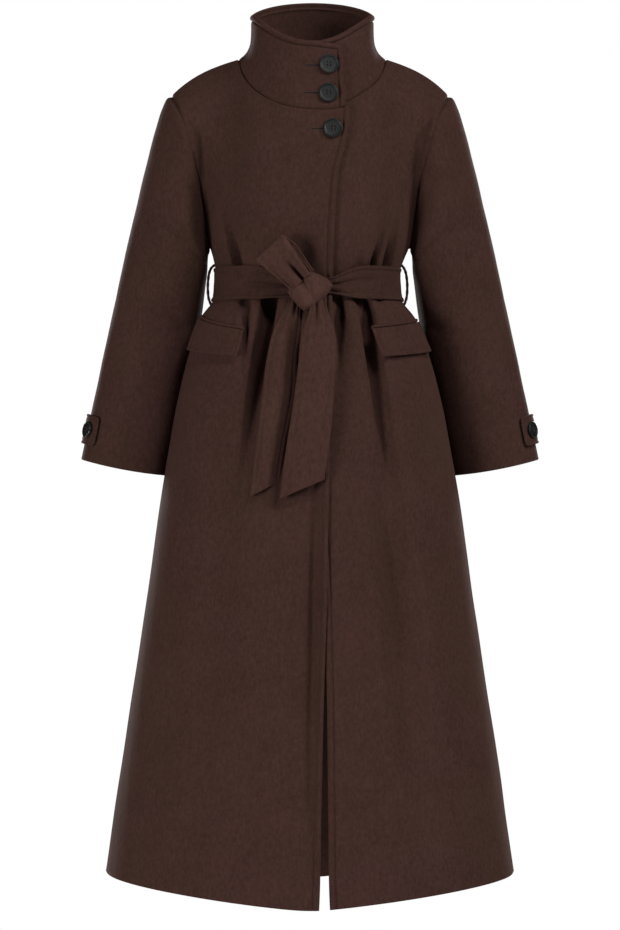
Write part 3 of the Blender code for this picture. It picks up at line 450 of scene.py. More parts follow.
# Places of the front buttons: on the collar by how far up it they are, on the chest by height.
ButtonPlace = namedtuple("ButtonPlace", "name x up")
COLLAR_BUTTONS = (
    ButtonPlace("button_collar_top", 0.0252, 0.655),
    ButtonPlace("button_collar_low", 0.0245, 0.225),
)
CHEST_BUTTON = ButtonPlace("button_chest", 0.0338, -0.1100)

Buttonhole = namedtuple("Buttonhole", "name left right height")
COLLAR_HOLES = (
    Buttonhole("collar_top", -0.0066, 0.0150, -0.0156),
    Buttonhole("collar_low", -0.0088, 0.0140, -0.0570),
)
CHEST_HOLE = Buttonhole("chest", 0.0025, 0.0215, -0.1105)
HOLE_STITCHES = 18
SLIT_HALF_HEIGHT = 0.00045
SLIT_LIFT = 0.00035
SLIT_DEPTH = 0.0006

# One upright stitch of a buttonhole: its distances from the slit and off the cloth, then its faces,
# which are its top, its underside and its two ends.
BarPoint = namedtuple("BarPoint", "away lift")
BAR_PROFILE = (BarPoint(0.0006, 0.0001), BarPoint(0.0009, 0.0006), BarPoint(0.0014, 0.0007),
               BarPoint(0.0019, 0.0002))
BAR_FACES = ((0, 1, 3, 2), (2, 3, 5, 4), (4, 5, 7, 6), (0, 6, 7, 1), (0, 2, 4, 6), (1, 7, 5, 3))

# Colours, linear.
WOOL_DARK = (0.0320, 0.0149, 0.0117)
WOOL_LIGHT = (0.0555, 0.0276, 0.0226)
BELT_PAINTED_SHADE = 0.86           # painted shade on the belt band and keepers, under the chest and bow
TAIL_PAINTED_LIGHT = 1.14           # painted light on the hanging belt ends, which stand out into the light
# painted light on the knot turns and the bow loop
BOW_PAINTED_LIGHT = 1.40
# painted shadow: the dark strip in each buttonhole slit
SLIT_PAINTED_SHADE = 0.14
WARM_TINT = (1.00, 0.985, 0.92)
COOL_TINT = (1.00, 0.945, 0.97)
THREAD = (0.026, 0.0125, 0.0098)
HORN_DARK = (0.0054, 0.0058, 0.0062)
HORN_LIGHT = (0.0098, 0.0103, 0.0106)
SHEEN_TINT = (0.55, 0.33, 0.27, 1.0)
FLOOR_COLOUR = (0.80, 0.80, 0.79)
WHITE = (1.0, 1.0, 1.0, 1.0)

# Light: sizes in metres, power in watts, and the strength of the white surroundings.
Light = namedtuple("Light", "name place target size power")
LIGHTS = (
    Light("key", (4.6, -2.4, 2.4), (0.0, 0.0, -0.3), 1.7, 200.0),
    Light("fill", (-3.7, -3.6, -0.8), (0.0, 0.0, -0.3), 1.9, 168.0),
    Light("top", (1.9, -3.2, 3.4), (0.0, 0.0, -0.4), 1.4, 116.0),
    Light("back_right", (2.2, 4.8, 1.0), (0.0, 0.0, -0.6), 1.6, 170.0),
    Light("back_left", (-2.6, 4.4, 0.2), (0.0, 0.0, -0.6), 1.4, 180.0),
)
SURROUND = 0.045


# Curves, and the smooth forms of the coat, close to those of the CAD row.

def curve_through(rows, by, name, at):
    """One column of a table, read at any place on a smooth curve through its rows."""
    places = np.array([getattr(row, by) for row in rows])
    values = np.array([getattr(row, name) for row in rows])
    slopes = np.gradient(values, places)
    first = np.clip(np.searchsorted(places, at) - 1, 0, len(rows) - 2)
    span = places[first + 1] - places[first]
    t = np.clip((at - places[first]) / span, 0.0, 1.0)
    start = (1 + 2 * t) * (1 - t) ** 2 * values[first] + t * (1 - t) ** 2 * span * slopes[first]
    end = t * t * (3 - 2 * t) * values[first + 1] + t * t * (t - 1) * span * slopes[first + 1]
    return start + end


def level(name, height):
    return curve_through(BODY_LEVELS, "height", name, height)


def edge(name, height):
    return curve_through(FRONT_EDGES, "height", name, height)


def signed_power(value, power):
    return np.sign(value) * np.abs(value) ** power


def ease(value):
    t = np.clip(value, 0.0, 1.0)
    return t * t * (3 - 2 * t)


def bell(value):
    return np.exp(-value ** 2)


def fold_depth(side, across, height):
    total = 0.0
    for fold in FRONT_FOLDS if side < 0 else BACK_FOLDS:
        reach = np.where(height > fold.middle, fold.up, fold.down)
        place = ((across - fold.across) / fold.width) ** 2 + ((height - fold.middle) / reach) ** 2
        total = total + fold.depth * np.exp(-place)
    return total


def moved_in(x, y, amount):
    keep = 1.0 - amount / np.maximum(np.hypot(x, y), 0.02)
    return x * keep, y * keep


def ring(side, angle, height, folded=True):
    """The body below the armpits. Angle 0 is the middle, plus or minus 90 degrees the side."""
    half_width = level("half_width", height)
    depth = level("front_depth" if side < 0 else "back_depth", height)
    x = half_width * signed_power(np.sin(angle), 2 / SQUARENESS)
    y = side * depth * np.abs(np.cos(angle)) ** (2 / SQUARENESS)
    if folded:
        x, y = moved_in(x, y, fold_depth(side, x / half_width, height))
    low = np.clip((WAIST - height) / (WAIST - HEM), 0.0, 1.0) ** 2
    dip = HEM_DIP * low * (1 - np.hypot(np.sin(angle), 0.05))
    return np.stack(np.broadcast_arrays(x + level("shift", height), y, height - dip), axis=-1)


def angle_at(x, height):
    share = (x - level("shift", height)) / level("half_width", height)
    return np.arcsin(np.clip(signed_power(share, SQUARENESS / 2), -1.0, 1.0))


def neckline(angle):
    """Neck seam all round: angle 0 is the front, 90 degrees the side, 180 the back."""
    lean = np.cos(angle)
    x = NECK_HALF_WIDTH * np.sin(angle)
    y = np.where(lean > 0, -NECK_FRONT_DEPTH * np.abs(lean) ** 0.9, NECK_BACK_DEPTH * np.abs(lean))
    drop = np.where(lean > 0, -NECK_FRONT_DROP * np.abs(lean) ** 1.05, NECK_BACK_RISE * np.abs(lean) ** 1.2)
    return x, y, NECK_SIDE_HEIGHT + drop


def neck_pull(angle):
    """How much further out the neck is on the wearer's left."""
    return NECK_LEFT_PULL * np.clip(np.sin(angle), 0.0, 1.0) ** 2


def top_edge(side, hand, share):
    angle = np.clip(share / NECK_SHARE, -1.0, 1.0) * math.pi / 2
    x, y, z = neckline(angle if side < 0 else math.pi - angle)
    x = x + hand * neck_pull(hand * angle)
    along = np.clip((share - NECK_SHARE) / (1 - NECK_SHARE), 0.0, 1.0)
    x = x + along * (SHOULDER_END - x)
    z = z - SHOULDER_SLOPE * along - SHOULDER_ROUND * along ** 3
    return x, y, z


def armhole_x(x_bottom, x_top, rise):
    return x_bottom + (x_top - x_bottom) * (0.55 * rise + 0.45 * rise ** 4)


def armhole_bow(rise):
    """How far the armhole seam bows to the front and back on its way up; deep under the arm."""
    return np.maximum(np.sin(math.pi * np.clip(rise, 0.0, 1.0) ** 2.1), 0.0) ** 0.8


def yoke(side, hand, share, rise, over=False):
    """The body above the armpits: rise 0 is the armpit level, 1 the neckline and shoulder seam."""
    bottom = ring(side, hand * share * math.pi / 2, ARMPIT + 0.0 * share)
    top = top_edge(side, hand, share)
    away = np.abs(share)
    bottom_x = hand * bottom[..., 0]
    straight = bottom_x + (top[0] - bottom_x) * rise
    near_arm = away ** 3
    x = straight * (1 - near_arm) + armhole_x(bottom_x, top[0], rise) * near_arm
    roundness = 1.0 - 0.5 * np.clip(away / NECK_SHARE, 0.0, 1.0)
    y = top[1] + (bottom[..., 1] - top[1]) * np.maximum(1 - rise ** 2, 0.0) ** roundness
    y = y + side * ARMHOLE_DEPTH * armhole_bow(rise) * away ** 6
    z = bottom[..., 2] + (top[2] - bottom[..., 2]) * rise
    if over:
        past = np.clip(-share / NECK_SHARE * (math.pi / 2) / COLLAR_OVER_END, 0.0, 1.2)
        lower = OVER_END_DROP * past * rise ** 2
        y, z = y - OVER_END_LEAN * lower, z - lower
    return np.stack((hand * x, y, z), axis=-1)


def underlap(x):
    return UNDERLAP * ease((0.105 - x) / 0.035)


def front_y(x, z):
    """How far forward the smooth front of the body is at a place seen from the front."""
    height = np.clip(z, HEM, ARMPIT)
    away = np.abs(x - level("shift", height))
    share = np.clip(away / level("half_width", height), 0.0, 0.999)
    return -level("front_depth", height) * (1 - share ** SQUARENESS) ** (1 / SQUARENESS)


def side_x(hand, height):
    return level("half_width", height) + hand * level("shift", height)


def sleeve_points(angle, place):
    """The left sleeve: angle 0 is the armpit line, 90 degrees the front, 180 the outer line."""
    inner_x = curve_through(SLEEVE_SECTIONS, "place", "inner_x", place)
    inner_z = curve_through(SLEEVE_SECTIONS, "place", "inner_z", place)
    outer_x = curve_through(SLEEVE_SECTIONS, "place", "outer_x", place)
    outer_z = curve_through(SLEEVE_SECTIONS, "place", "outer_z", place)
    half_depth = curve_through(SLEEVE_SECTIONS, "place", "half_depth", place)
    reach = (1 - np.cos(angle)) / 2
    bow = signed_power(np.sin(angle), SLEEVE_SQUARENESS)
    x = inner_x + (outer_x - inner_x) * reach
    y = curve_through(SLEEVE_SECTIONS, "place", "back_shift", place) - half_depth * bow
    z = inner_z + (outer_z - inner_z) * reach - CUFF_DIP * np.sin(angle) ** 2 * place ** 8

    head = SLEEVE_SECTIONS[0]
    fade = (1 - np.clip(place / 0.18, 0.0, 1.0)) ** 2
    seam_x = armhole_x(head.inner_x, head.outer_x, reach)
    seam_y = -ARMHOLE_DEPTH * np.sign(np.sin(angle)) * armhole_bow(reach)
    x = x + fade * (seam_x - head.inner_x - (head.outer_x - head.inner_x) * reach)
    y = y + fade * (seam_y + head.half_depth * bow)
    return np.stack((x, y, z), axis=-1)


def collar_points(angle, up):
    """The collar from its over end, round the back, to its under end; up is 0 at the neck seam."""
    lean = np.cos(angle)
    low = neckline(angle)
    front = -RIM_FRONT_DEPTH * np.abs(lean) ** 0.9
    rim_y = np.where(lean > 0, front, RIM_BACK_DEPTH * np.abs(lean))
    front_z = RIM_SIDE_HEIGHT - RIM_FRONT_DROP * np.abs(lean) ** 1.95
    rim_z = np.where(lean > 0, front_z, RIM_SIDE_HEIGHT + RIM_BACK_RISE * np.abs(lean) ** 1.2)
    drop = OVER_END_DROP * np.clip(angle / COLLAR_OVER_END, 0.0, 1.0)
    pull = 1 - (1 - up) ** (1 + 5 * (1 - np.abs(lean)) ** 1.5)
    seam_x = low[0] + neck_pull(angle)
    x = seam_x + (RIM_SHIFT + RIM_HALF_WIDTH * np.sin(angle) - seam_x) * pull
    y = low[1] + (rim_y - low[1]) * pull
    y = y - OVER_END_LEAN * drop * (1 - up)
    z = low[2] + (rim_z - low[2]) * up - drop
    tuck = np.where(angle < -1.5 * math.pi, underlap(low[0]), 0.0)
    x, y = moved_in(x, y, tuck)
    toward_end = np.clip((angle - RIM_FALL_START) / (COLLAR_OVER_END - RIM_FALL_START), 0.0, 1.0)
    corner = np.clip((angle - COLLAR_OVER_END) / RIM_CORNER + 1.0, 0.0, 1.0)
    fall = RIM_FALL * toward_end ** 1.3 + RIM_CORNER_FALL * (1 - np.sqrt(1 - 0.98 * corner ** 2))
    z = z - fall * np.clip(up, 0.0, 1.0) ** 2
    return np.stack((x, y, z), axis=-1)


# Grids of points and the walls made from them.

def normals_of(grid, closed=False):
    if closed:
        across = np.roll(grid, -1, axis=1) - np.roll(grid, 1, axis=1)
    else:
        across = np.gradient(grid, axis=1)
    normal = np.cross(across, np.gradient(grid, axis=0))
    return normal / np.maximum(np.linalg.norm(normal, axis=-1, keepdims=True), 1e-12)


def outward(grid):
    normal = normals_of(grid)
    return normal if (normal[..., :2] * grid[..., :2]).sum() > 0 else -normal


def lengths_along(grid, axis):
    """Distance of every point from the first one of its row (axis 1) or column (axis 0)."""
    steps = np.linalg.norm(np.diff(grid, axis=axis), axis=-1)
    start = np.zeros_like(np.take(steps, [0], axis=axis))
    return np.concatenate((start, np.cumsum(steps, axis=axis)), axis=axis)


def from_last(lengths, axis):
    return np.take(lengths, [-1], axis=axis) - lengths


def rounded(away, radius):
    """How far a rounded edge falls back at a distance from it."""
    near = np.clip(1 - away / radius, 0.0, 1.0)
    return radius * (1 - np.sqrt(1 - 0.97 * near ** 2))


def unevenness(points, ripples):
    """Smooth random relief, the same on every run, with waves longer than they are wide."""
    total = np.zeros(points.shape[:-1])
    for ripple in ripples:
        chance = np.random.RandomState(ripple.seed)
        for _ in range(WAVES):
            direction = chance.normal(size=3) * (1.0, 1.0, 0.4)
            wave = np.sin(points @ direction * 2 * math.pi / ripple.size + chance.uniform(0, 6.28))
            total = total + ripple.height * wave / 4.0
    return total


def crease_relief(creases, points):
    """The listed creases: below zero in a trough."""
    x, z = points[..., 0], points[..., 2]
    total = np.zeros_like(x)
    for crease in creases:
        line = crease.x + crease.lean * (z - crease.z)
        reach = np.where(z > crease.z, crease.up, crease.down)
        total = total - crease.depth * bell((x - line) / crease.width) * bell((z - crease.z) / reach)
    return total


def stitched_edge(away, sewing):
    """Relief of a turned edge: a soft ridge, then the sunk line where it is stitched."""
    swell = sewing.ridge * bell((away - 0.5 * sewing.line) / (0.36 * sewing.line))
    return swell - sewing.groove * bell((away - sewing.line) / GROOVE_WIDTH)


def seam_relief(away, depth):
    """Relief beside a seam: the cloth rolls down into it."""
    roll = SEAM_ROLL * bell((away - SEAM_ROLL_AWAY) / SEAM_ROLL_WIDTH)
    return depth * (roll - bell(away / SEAM_WIDTH))


def piece(name, points, faces, material, node=None):
    mesh = bpy.data.meshes.new(name)
    mesh.from_pydata(np.asarray(points).reshape(-1, 3).tolist(), [], faces)
    mesh.update()
    mesh.shade_smooth()
    mesh.materials.append(material)
    made = bpy.data.objects.new(name, mesh)
    bpy.context.scene.collection.objects.link(made)
    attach(made, "root")
    if node:
        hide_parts(node)
    return made


def shell(name, outer, inner, material, node, closed=False):
    """A closed wall between two grids of points."""
    rows, columns = outer.shape[:2]
    inside = rows * columns
    faces = []
    last = columns if closed else columns - 1
    for r in range(rows - 1):
        for c in range(last):
            a = r * columns + c
            b = r * columns + (c + 1) % columns
            faces.append((a, b, b + columns, a + columns))
            faces.append((inside + a + columns, inside + b + columns, inside + b, inside + a))
    top = (rows - 1) * columns
    for c in range(last):
        d = (c + 1) % columns
        faces.append((d, c, inside + c, inside + d))
        faces.append((top + c, top + d, inside + top + d, inside + top + c))
    if not closed:
        for r in range(rows - 1):
            a, b = r * columns, (r + 1) * columns
            faces.append((a, b, inside + b, inside + a))
            a, b = a + columns - 1, b + columns - 1
            faces.append((b, a, inside + a, inside + b))
    if (normals_of(outer, closed) * (outer - inner)).sum() < 0:
        faces = [tuple(reversed(face)) for face in faces]
    points = np.concatenate((outer.reshape(-1, 3), inner.reshape(-1, 3)))
    return piece(name, points, faces, material, node)


def walls(grid, normal, relief, edge_away, thickness):
    """Outer and inner skin of a cloth, with its free edges rounded over."""
    fall = rounded(edge_away, thickness / 2)
    outer = grid + (relief - fall)[..., None] * normal
    inner = grid + (0.6 * relief - thickness + fall)[..., None] * normal
    return outer, inner


def capped_tube(rows, columns, first=0):
    """Faces of a tube made of rings of points, with both ends closed."""
    last = first + (rows - 1) * columns
    faces = []
    for low in range(first, last, columns):
        for c in range(columns):
            d = (c + 1) % columns
            faces.append((low + c, low + d, low + columns + d, low + columns + c))
    faces.append(tuple(range(first + columns - 1, first - 1, -1)))
    faces.append(tuple(range(last, last + columns)))
    return faces


def cloth(name, base, normal, relief, edge_away, thickness, material):
    """A cloth that takes the place of the solid of its name, and the outer skin of its wall."""
    outer, inner = walls(base, normal, relief, edge_away, thickness)
    return shell("cloth_" + name, outer, inner, material, name), outer


def stitch_row(name, path, normal, material):
    """Short threads laid end to end along a line of points, with small spaces between them."""
    along = lengths_along(path, 0)
    shares = np.array([point.along for point in STITCH_SHAPE])
    turns = np.linspace(0.0, 2 * math.pi, THREAD_SIDES + 1)[:-1]
    points, faces = [], []
    for number in range(int(along[-1] / STITCH_PITCH)):
        centre = (number + 0.5) * STITCH_PITCH
        places = centre + shares * STITCH_LENGTH
        line = np.stack([np.interp(places, along, path[:, k]) for k in range(3)], axis=-1)
        up = np.array([np.interp(centre, along, normal[:, k]) for k in range(3)])
        side = np.cross(line[-1] - line[0], up)
        side = side / max(np.linalg.norm(side), 1e-9)
        faces += capped_tube(len(STITCH_SHAPE), THREAD_SIDES, len(points))
        for point, spot in zip(STITCH_SHAPE, line):
            for turn in turns:
                reach = math.cos(turn) * side + math.sin(turn) * up
                points.append(spot + STITCH_RADIUS * (point.size * reach + point.lift * up))
    return piece(name, np.array(points), faces, material)


# Fronts and back.

def panel_heights():
    """Heights of the rows below the armpits, close together at the hem."""
    middle = np.linspace(HEM + 0.032, -0.47, 78)
    waist = np.linspace(-0.464, ARMPIT, 38)
    return np.concatenate((HEM + np.array(HEM_STEPS), middle, waist))


def panel_rises():
    """Shares of the way up above the armpits, close together at the shoulder and neck seam."""
    return np.concatenate((np.linspace(0.0, 0.93, 46)[1:], NECK_RISES))


def spaced_row(points_at, start, first_steps, count):
    """A row of points from a start to the side, spaced by distance along the cloth."""
    trial = np.linspace(start, 1.0, 90)
    along = lengths_along(points_at(trial)[None], 1)[0]
    total = along[-1]
    middle = np.linspace(first_steps[-1], total - SEAM_STEPS[-1], count + 2)[1:-1]
    last = total - np.array(SEAM_STEPS[::-1])
    return points_at(np.interp(np.concatenate((first_steps, middle, last)), along, trial))


def half_panel(side, hand, edge_name, first_steps, count):
    """Grid of half the front (-1) or back (1), from its middle edge to its side and armhole."""
    rows = []
    for height in panel_heights():
        start = hand * angle_at(edge(edge_name, height), height) / (math.pi / 2) if edge_name else 0.0
        rows.append(spaced_row(
            lambda share: ring(side, hand * share * math.pi / 2, height + 0.0 * share),
            start, first_steps, count))
    trial = np.linspace(-0.5, 0.5, 101)
    for rise in panel_rises():
        start = 0.0
        if edge_name:
            line = yoke(side, hand, trial, rise)
            start = np.interp(0.0, hand * line[:, 0] - hand * edge(edge_name, line[:, 2]), trial)
        rows.append(spaced_row(
            lambda share: yoke(side, hand, share, rise, edge_name == "over"),
            start, first_steps, count))
    return soften(np.stack(rows))


def soften(grid):
    """Evens out the turn at the chest and the one below the neck point, away from the edges."""
    rows, columns = grid.shape[:2]
    row, column = np.arange(rows), np.arange(columns)
    bend = len(panel_heights()) - 1
    from_side = columns - 1 - column
    weight = 0.5 * bell((row - bend) / BEND_ROWS)[1:-1, None, None]
    weight = weight * ease(from_side / SIDE_COLUMNS)[None, :, None]
    for _ in range(BEND_PASSES):
        grid[1:-1] += weight * ((grid[:-2] + grid[2:]) / 2 - grid[1:-1])
    by_row = 0.5 * ease((rows - 1 - row) / TOP_ROWS) * ease((row - bend + 10) / 20.0)
    by_column = ease((column - 19) / 8.0) * ease((from_side - 8) / 10.0)
    weight = by_row[:, None, None] * by_column[1:-1, None]
    for _ in range(NECK_PASSES):
        grid[:, 1:-1] += weight * ((grid[:, :-2] + grid[:, 2:]) / 2 - grid[:, 1:-1])
    return grid


def body_relief(side, grid):
    creases = FRONT_CREASES if side < 0 else BACK_CREASES
    below_collar = ease((-0.02 - grid[..., 2]) / 0.08)
    return crease_relief(creases, grid) + unevenness(grid, BODY_RIPPLES) * below_collar


def front(name, hand, edge_name, material, thread):
    grid = half_panel(-1, hand, edge_name, EDGE_STEPS, FRONT_COLUMNS)
    if edge_name == "under":
        tuck = underlap(grid[..., 0]) * edge("tuck", grid[..., 2])
        grid[..., 0], grid[..., 1] = moved_in(grid[..., 0], grid[..., 1], tuck)
    normal = outward(grid)
    across = lengths_along(grid, 1)
    up = lengths_along(grid, 0)
    to_seam = np.minimum(from_last(across, 1), from_last(up, 0))
    relief = body_relief(-1, grid) * ease(across / EDGE_CALM + 0.35) * ease(to_seam / SEAM_CALM)
    relief = relief + stitched_edge(across, FRONT_SEWING)
    relief = relief + seam_relief(to_seam, SEAM_DEPTH)
    thickness = CLOTH + (EDGE_CLOTH - CLOTH) * ease(1.5 - across / FACING_FADE)
    made, outer = cloth(name, grid, normal, relief, np.minimum(across, up), thickness, material)
    column = EDGE_STEPS.index(EDGE_STITCH)
    stitches = stitch_row("stitches_" + name, outer[4:-2, column], normal[4:-2, column], thread)
    return outer


def back(material):
    right = half_panel(1, -1, None, MIDDLE_STEPS, HALF_BACK_COLUMNS)
    left = half_panel(1, 1, None, MIDDLE_STEPS, HALF_BACK_COLUMNS)
    grid = np.concatenate((right[:, :0:-1], left), axis=1)
    normal = outward(grid)
    across = lengths_along(grid, 1)
    up = lengths_along(grid, 0)
    to_seam = np.minimum(np.minimum(across, from_last(across, 1)), from_last(up, 0))
    relief = body_relief(1, grid) * ease(to_seam / SEAM_CALM) + seam_relief(to_seam, SEAM_DEPTH)
    made, _ = cloth("back", grid, normal, relief, up, CLOTH, material)


# Sleeves.

def sleeve_relief(angle, place, grid):
    degrees = np.degrees(angle)
    total = unevenness(grid, SLEEVE_RIPPLES)
    for crease in SLEEVE_CREASES:
        line = crease.angle + crease.turn * (place - crease.place) / crease.reach
        shape = bell((degrees - line) / crease.width) * bell((place - crease.place) / crease.reach)
        total = total - crease.depth * shape
    return total * ease(place / 0.08)


def sleeve(name, hand, material):
    angle = np.linspace(0.0, 2 * math.pi, SLEEVE_COLUMNS + 1)[None, :-1]
    near_cuff = 1 - np.array(CUFF_SHARES)
    place = np.concatenate((HEAD_SHARES, np.linspace(0.045, 0.958, 84), near_cuff))[:, None]
    grid = sleeve_points(angle, place)
    normal = -normals_of(grid, closed=True)
    down = lengths_along(grid, 0)
    to_cuff = from_last(down, 0)
    relief = sleeve_relief(angle, place, grid) + seam_relief(down, SEAM_DEPTH)
    swell = HEAD_ROLL * bell((down - HEAD_ROLL_AWAY) / HEAD_ROLL_WIDTH)
    relief = relief + swell * ease(np.sin(angle / 2) * 2 - 0.6)
    thickness = CLOTH + CUFF_TURNING * ease(1 - to_cuff / CUFF_TURNING_HEIGHT)
    outer, inner = walls(grid, normal, relief, to_cuff, thickness)
    allowance = np.array((-HEAD_TURNING, 0.0, 0.0)) - HEAD_TURNING_DROP * normal[:1]
    outer = np.concatenate((outer[:1] + allowance, outer))
    inner = np.concatenate((inner[:1] + allowance, inner))
    outer[..., 0] *= hand
    inner[..., 0] *= hand
    made = shell("cloth_" + name, outer, inner, material, name, closed=True)


# Collar.

def collar_angles():
    """Angles round the collar, close together at both ends."""
    over = COLLAR_OVER_END
    under = math.asin(edge("under", -NECK_FRONT_DROP) / NECK_HALF_WIDTH) - 2 * math.pi
    near_over = over - np.array(EDGE_STEPS) / OVER_END_RADIUS
    near_under = under + np.array(SEAM_STEPS[::-1]) / UNDER_END_RADIUS
    middle = np.linspace(near_over[-1], near_under[0], 212)[1:-1]
    return np.concatenate((near_over, middle, near_under))[None, :]


def collar(material, thread):
    angle = collar_angles()
    near_rim = 1 - np.array(EDGE_STEPS[::-1]) / COLLAR_HEIGHT
    up = np.concatenate((COLLAR_SHARES, np.linspace(0.08, 0.79, 16), near_rim))
    grid = collar_points(angle, up[:, None])
    normal = outward(grid)
    across = lengths_along(grid, 1)
    from_neck = lengths_along(grid, 0)
    from_rim = from_last(from_neck, 0)
    end = np.minimum(across, from_last(across, 1))
    border = np.minimum(across, from_rim)
    relief = stitched_edge(border, COLLAR_SEWING) + seam_relief(from_neck, COLLAR_SEAM_DEPTH)
    relief = relief + unevenness(grid, COLLAR_RIPPLES) * ease(border / 0.02 - 0.5)
    thickness = EDGE_CLOTH + RIM_ROLL * bell(from_rim / RIM_ROLL_WIDTH) * ease(end / 0.01)
    free_edge = np.minimum(end, from_rim)
    made, outer = cloth("collar", grid, normal, relief, free_edge, thickness, material)
    row = len(up) - 1 - EDGE_STEPS.index(EDGE_STITCH)
    column = EDGE_STEPS.index(EDGE_STITCH)
    rim = stitch_row("stitches_collar_rim", outer[row, column:-3], normal[row, column:-3], thread)
    side = stitch_row("stitches_collar_end", outer[3:row, column], normal[3:row, column], thread)
    return outer


# Belt.

def belt_pleats(distance, width):
    """Relief of the belt beside the knot, where it is drawn together: distance is from the knot."""
    total = 0.0
    for pleat in BAND_PLEATS:
        place = pleat.place * (1 + pleat.fans * distance / BAND_FAN)
        total = total + pleat.height * bell((width - place) / pleat.width)
    return total * bell(distance / BAND_PLEAT_REACH)


def strip_widths(count):
    """Shares across the belt from -0.5 to 0.5, close together at its edges."""
    near_edge = -0.5 + np.array(BELT_STEPS) / BELT_WIDTH
    half = np.concatenate((near_edge, np.linspace(-0.27, 0.0, count)))
    return np.concatenate((half, -half[-2::-1]))


def belt_band(material, thread):
    """The belt from one side of the knot, round the back, to the other side."""
    right = np.linspace(-0.05, -math.pi / 2, 62)
    behind = np.linspace(-math.pi / 2, math.pi / 2, 92)[1:-1]
    around = [(-1, turn) for turn in right] + [(1, turn) for turn in behind]
    around += [(-1, -turn) for turn in right[::-1]]
    middle = (BELT_TOP + BELT_BOTTOM) / 2
    width = strip_widths(8)
    grid = np.zeros((len(width), len(around), 3))
    for column, (side, turn) in enumerate(around):
        past = max(abs(turn) - BELT_PINCH_START, 0.0) / BELT_PINCH_REACH
        near_knot = math.exp(-past ** 2) if side < 0 else 0.0
        pinch = 1 - (BELT_PINCH_LEFT if turn > 0 else BELT_PINCH_RIGHT) * near_knot
        height = middle - BELT_SAG * near_knot + width * BELT_WIDTH * pinch
        grid[:, column] = ring(side, turn, height, folded=False)
    normal = outward(grid)
    along = lengths_along(grid, 1)
    distance = np.minimum(along, from_last(along, 1))
    border = BELT_WIDTH * (0.5 - np.abs(width[:, None])) + 0.0 * along
    relief = belt_pleats(distance, width[:, None]) + stitched_edge(border, BELT_SEWING)
    relief = relief + unevenness(grid, BELT_RIPPLES)
    base = grid + (BELT_LIFT + DOUBLE_CLOTH) * normal
    made, outer = cloth("belt_band", base, normal, relief, border, DOUBLE_CLOTH, material)
    low = np.argmin(np.abs(border[:, 0] - BELT_STITCH))
    high = len(width) - 1 - low
    rows = [stitch_row("stitches_belt_" + word, outer[row], normal[row], thread)
            for word, row in (("low", low), ("top", high))]


def knot_turn(turn, material):
    """One turn of the belt in the knot: a full, rounded strip between four corners seen in front."""
    side = np.linspace(-1.0, 1.0, 45)[None, :]
    far = np.linspace(-1.0, 1.0, 57)[:, None]
    across = 0.5 + 0.5 * side * np.sqrt(1 - 0.30 * far ** 2)
    along = 0.5 + 0.5 * far * np.sqrt(1 - 0.30 * side ** 2)
    first_left, first_right, last_right, last_left = [np.array(corner) for corner in turn.corners]
    start = first_left + (first_right - first_left) * across[..., None]
    end = last_left + (last_right - last_left) * across[..., None]
    flat = start + (end - start) * along[..., None]
    round_across = np.maximum(1 - np.abs(side) ** 2.6, 0.0) ** 0.5
    round_along = np.maximum(1 - np.abs(far) ** 3.0, 0.0) ** 0.5
    fullness = round_across * round_along
    height = turn.depth * fullness
    for crease in turn.creases:
        line = crease.place + crease.lean * (along - 0.5)
        height = height - crease.depth * bell((across - line) / crease.width) * fullness
    x, z = flat[..., 0], flat[..., 1]
    base = front_y(x, z) - BELT_LIFT - DOUBLE_CLOTH
    outer = np.stack((x, base - 0.0008 - height, z), axis=-1)
    inner = np.stack((x, base + 0.0008, z), axis=-1)
    outer[..., 1] -= unevenness(outer, KNOT_RIPPLES) * fullness
    made = shell(turn.name, outer, inner, material, "belt_knot")


def loop_fold(fold, width):
    return fold.height * bell((width - fold.place) / fold.width)


def belt_loop(material, thread):
    """The bow loop: a strip that leaves the knot, turns over and comes back."""
    place = np.linspace(0.0, 1.0, 90)[:, None]
    width = strip_widths(12)[None, :]
    along = curve_through(LOOP_TURNS, "place", "along", place)
    lift = curve_through(LOOP_TURNS, "place", "lift", place)
    spread = LOOP_BASE_WIDTH + (LOOP_TIP_WIDTH - LOOP_BASE_WIDTH) * np.clip(along / LOOP_LENGTH, 0, 1)
    under = ease((0.5 - place) / 0.2)
    across = width * spread + UNDER_SHIFT * under
    near = ease(1.1 - along / LOOP_LENGTH)
    on_top = ease((place - 0.52) / 0.1)
    by_knot = bell(np.maximum(along - 0.010, 0.0) / 0.012)
    fold = loop_fold(KNOT_FOLD, width) * by_knot + loop_fold(HIGH_SWELL, width)
    fold = fold + loop_fold(LOW_SWELL, width) + loop_fold(LOW_FOLD, width) * near
    fold = fold * on_top - 0.0010 * near * under * np.cos(9 * width)
    x = LOOP_START[0] - along * math.sin(LOOP_LEAN) + across * math.cos(LOOP_LEAN)
    z = LOOP_START[1] + along * math.cos(LOOP_LEAN) + across * math.sin(LOOP_LEAN)
    grid = np.stack((x, front_y(x, z) - lift - fold, z), axis=-1)
    border = BELT_WIDTH * (0.5 - np.abs(width)) + 0.0 * along
    relief = stitched_edge(border, BOW_SEWING)
    normal = normals_of(grid)
    if normal[-1, width.shape[1] // 2, 1] > 0:
        normal = -normal
    base = grid + DOUBLE_CLOTH / 2 * normal
    made, outer = cloth("belt_loop", base, normal, relief, border, DOUBLE_CLOTH, material)
    column = int(np.argmin(np.abs(border[0] - BELT_STITCH)))
    rows = [stitch_row("stitches_loop_" + word, outer[:, place], normal[:, place], thread)
            for word, place in (("low", column), ("top", -1 - column))]


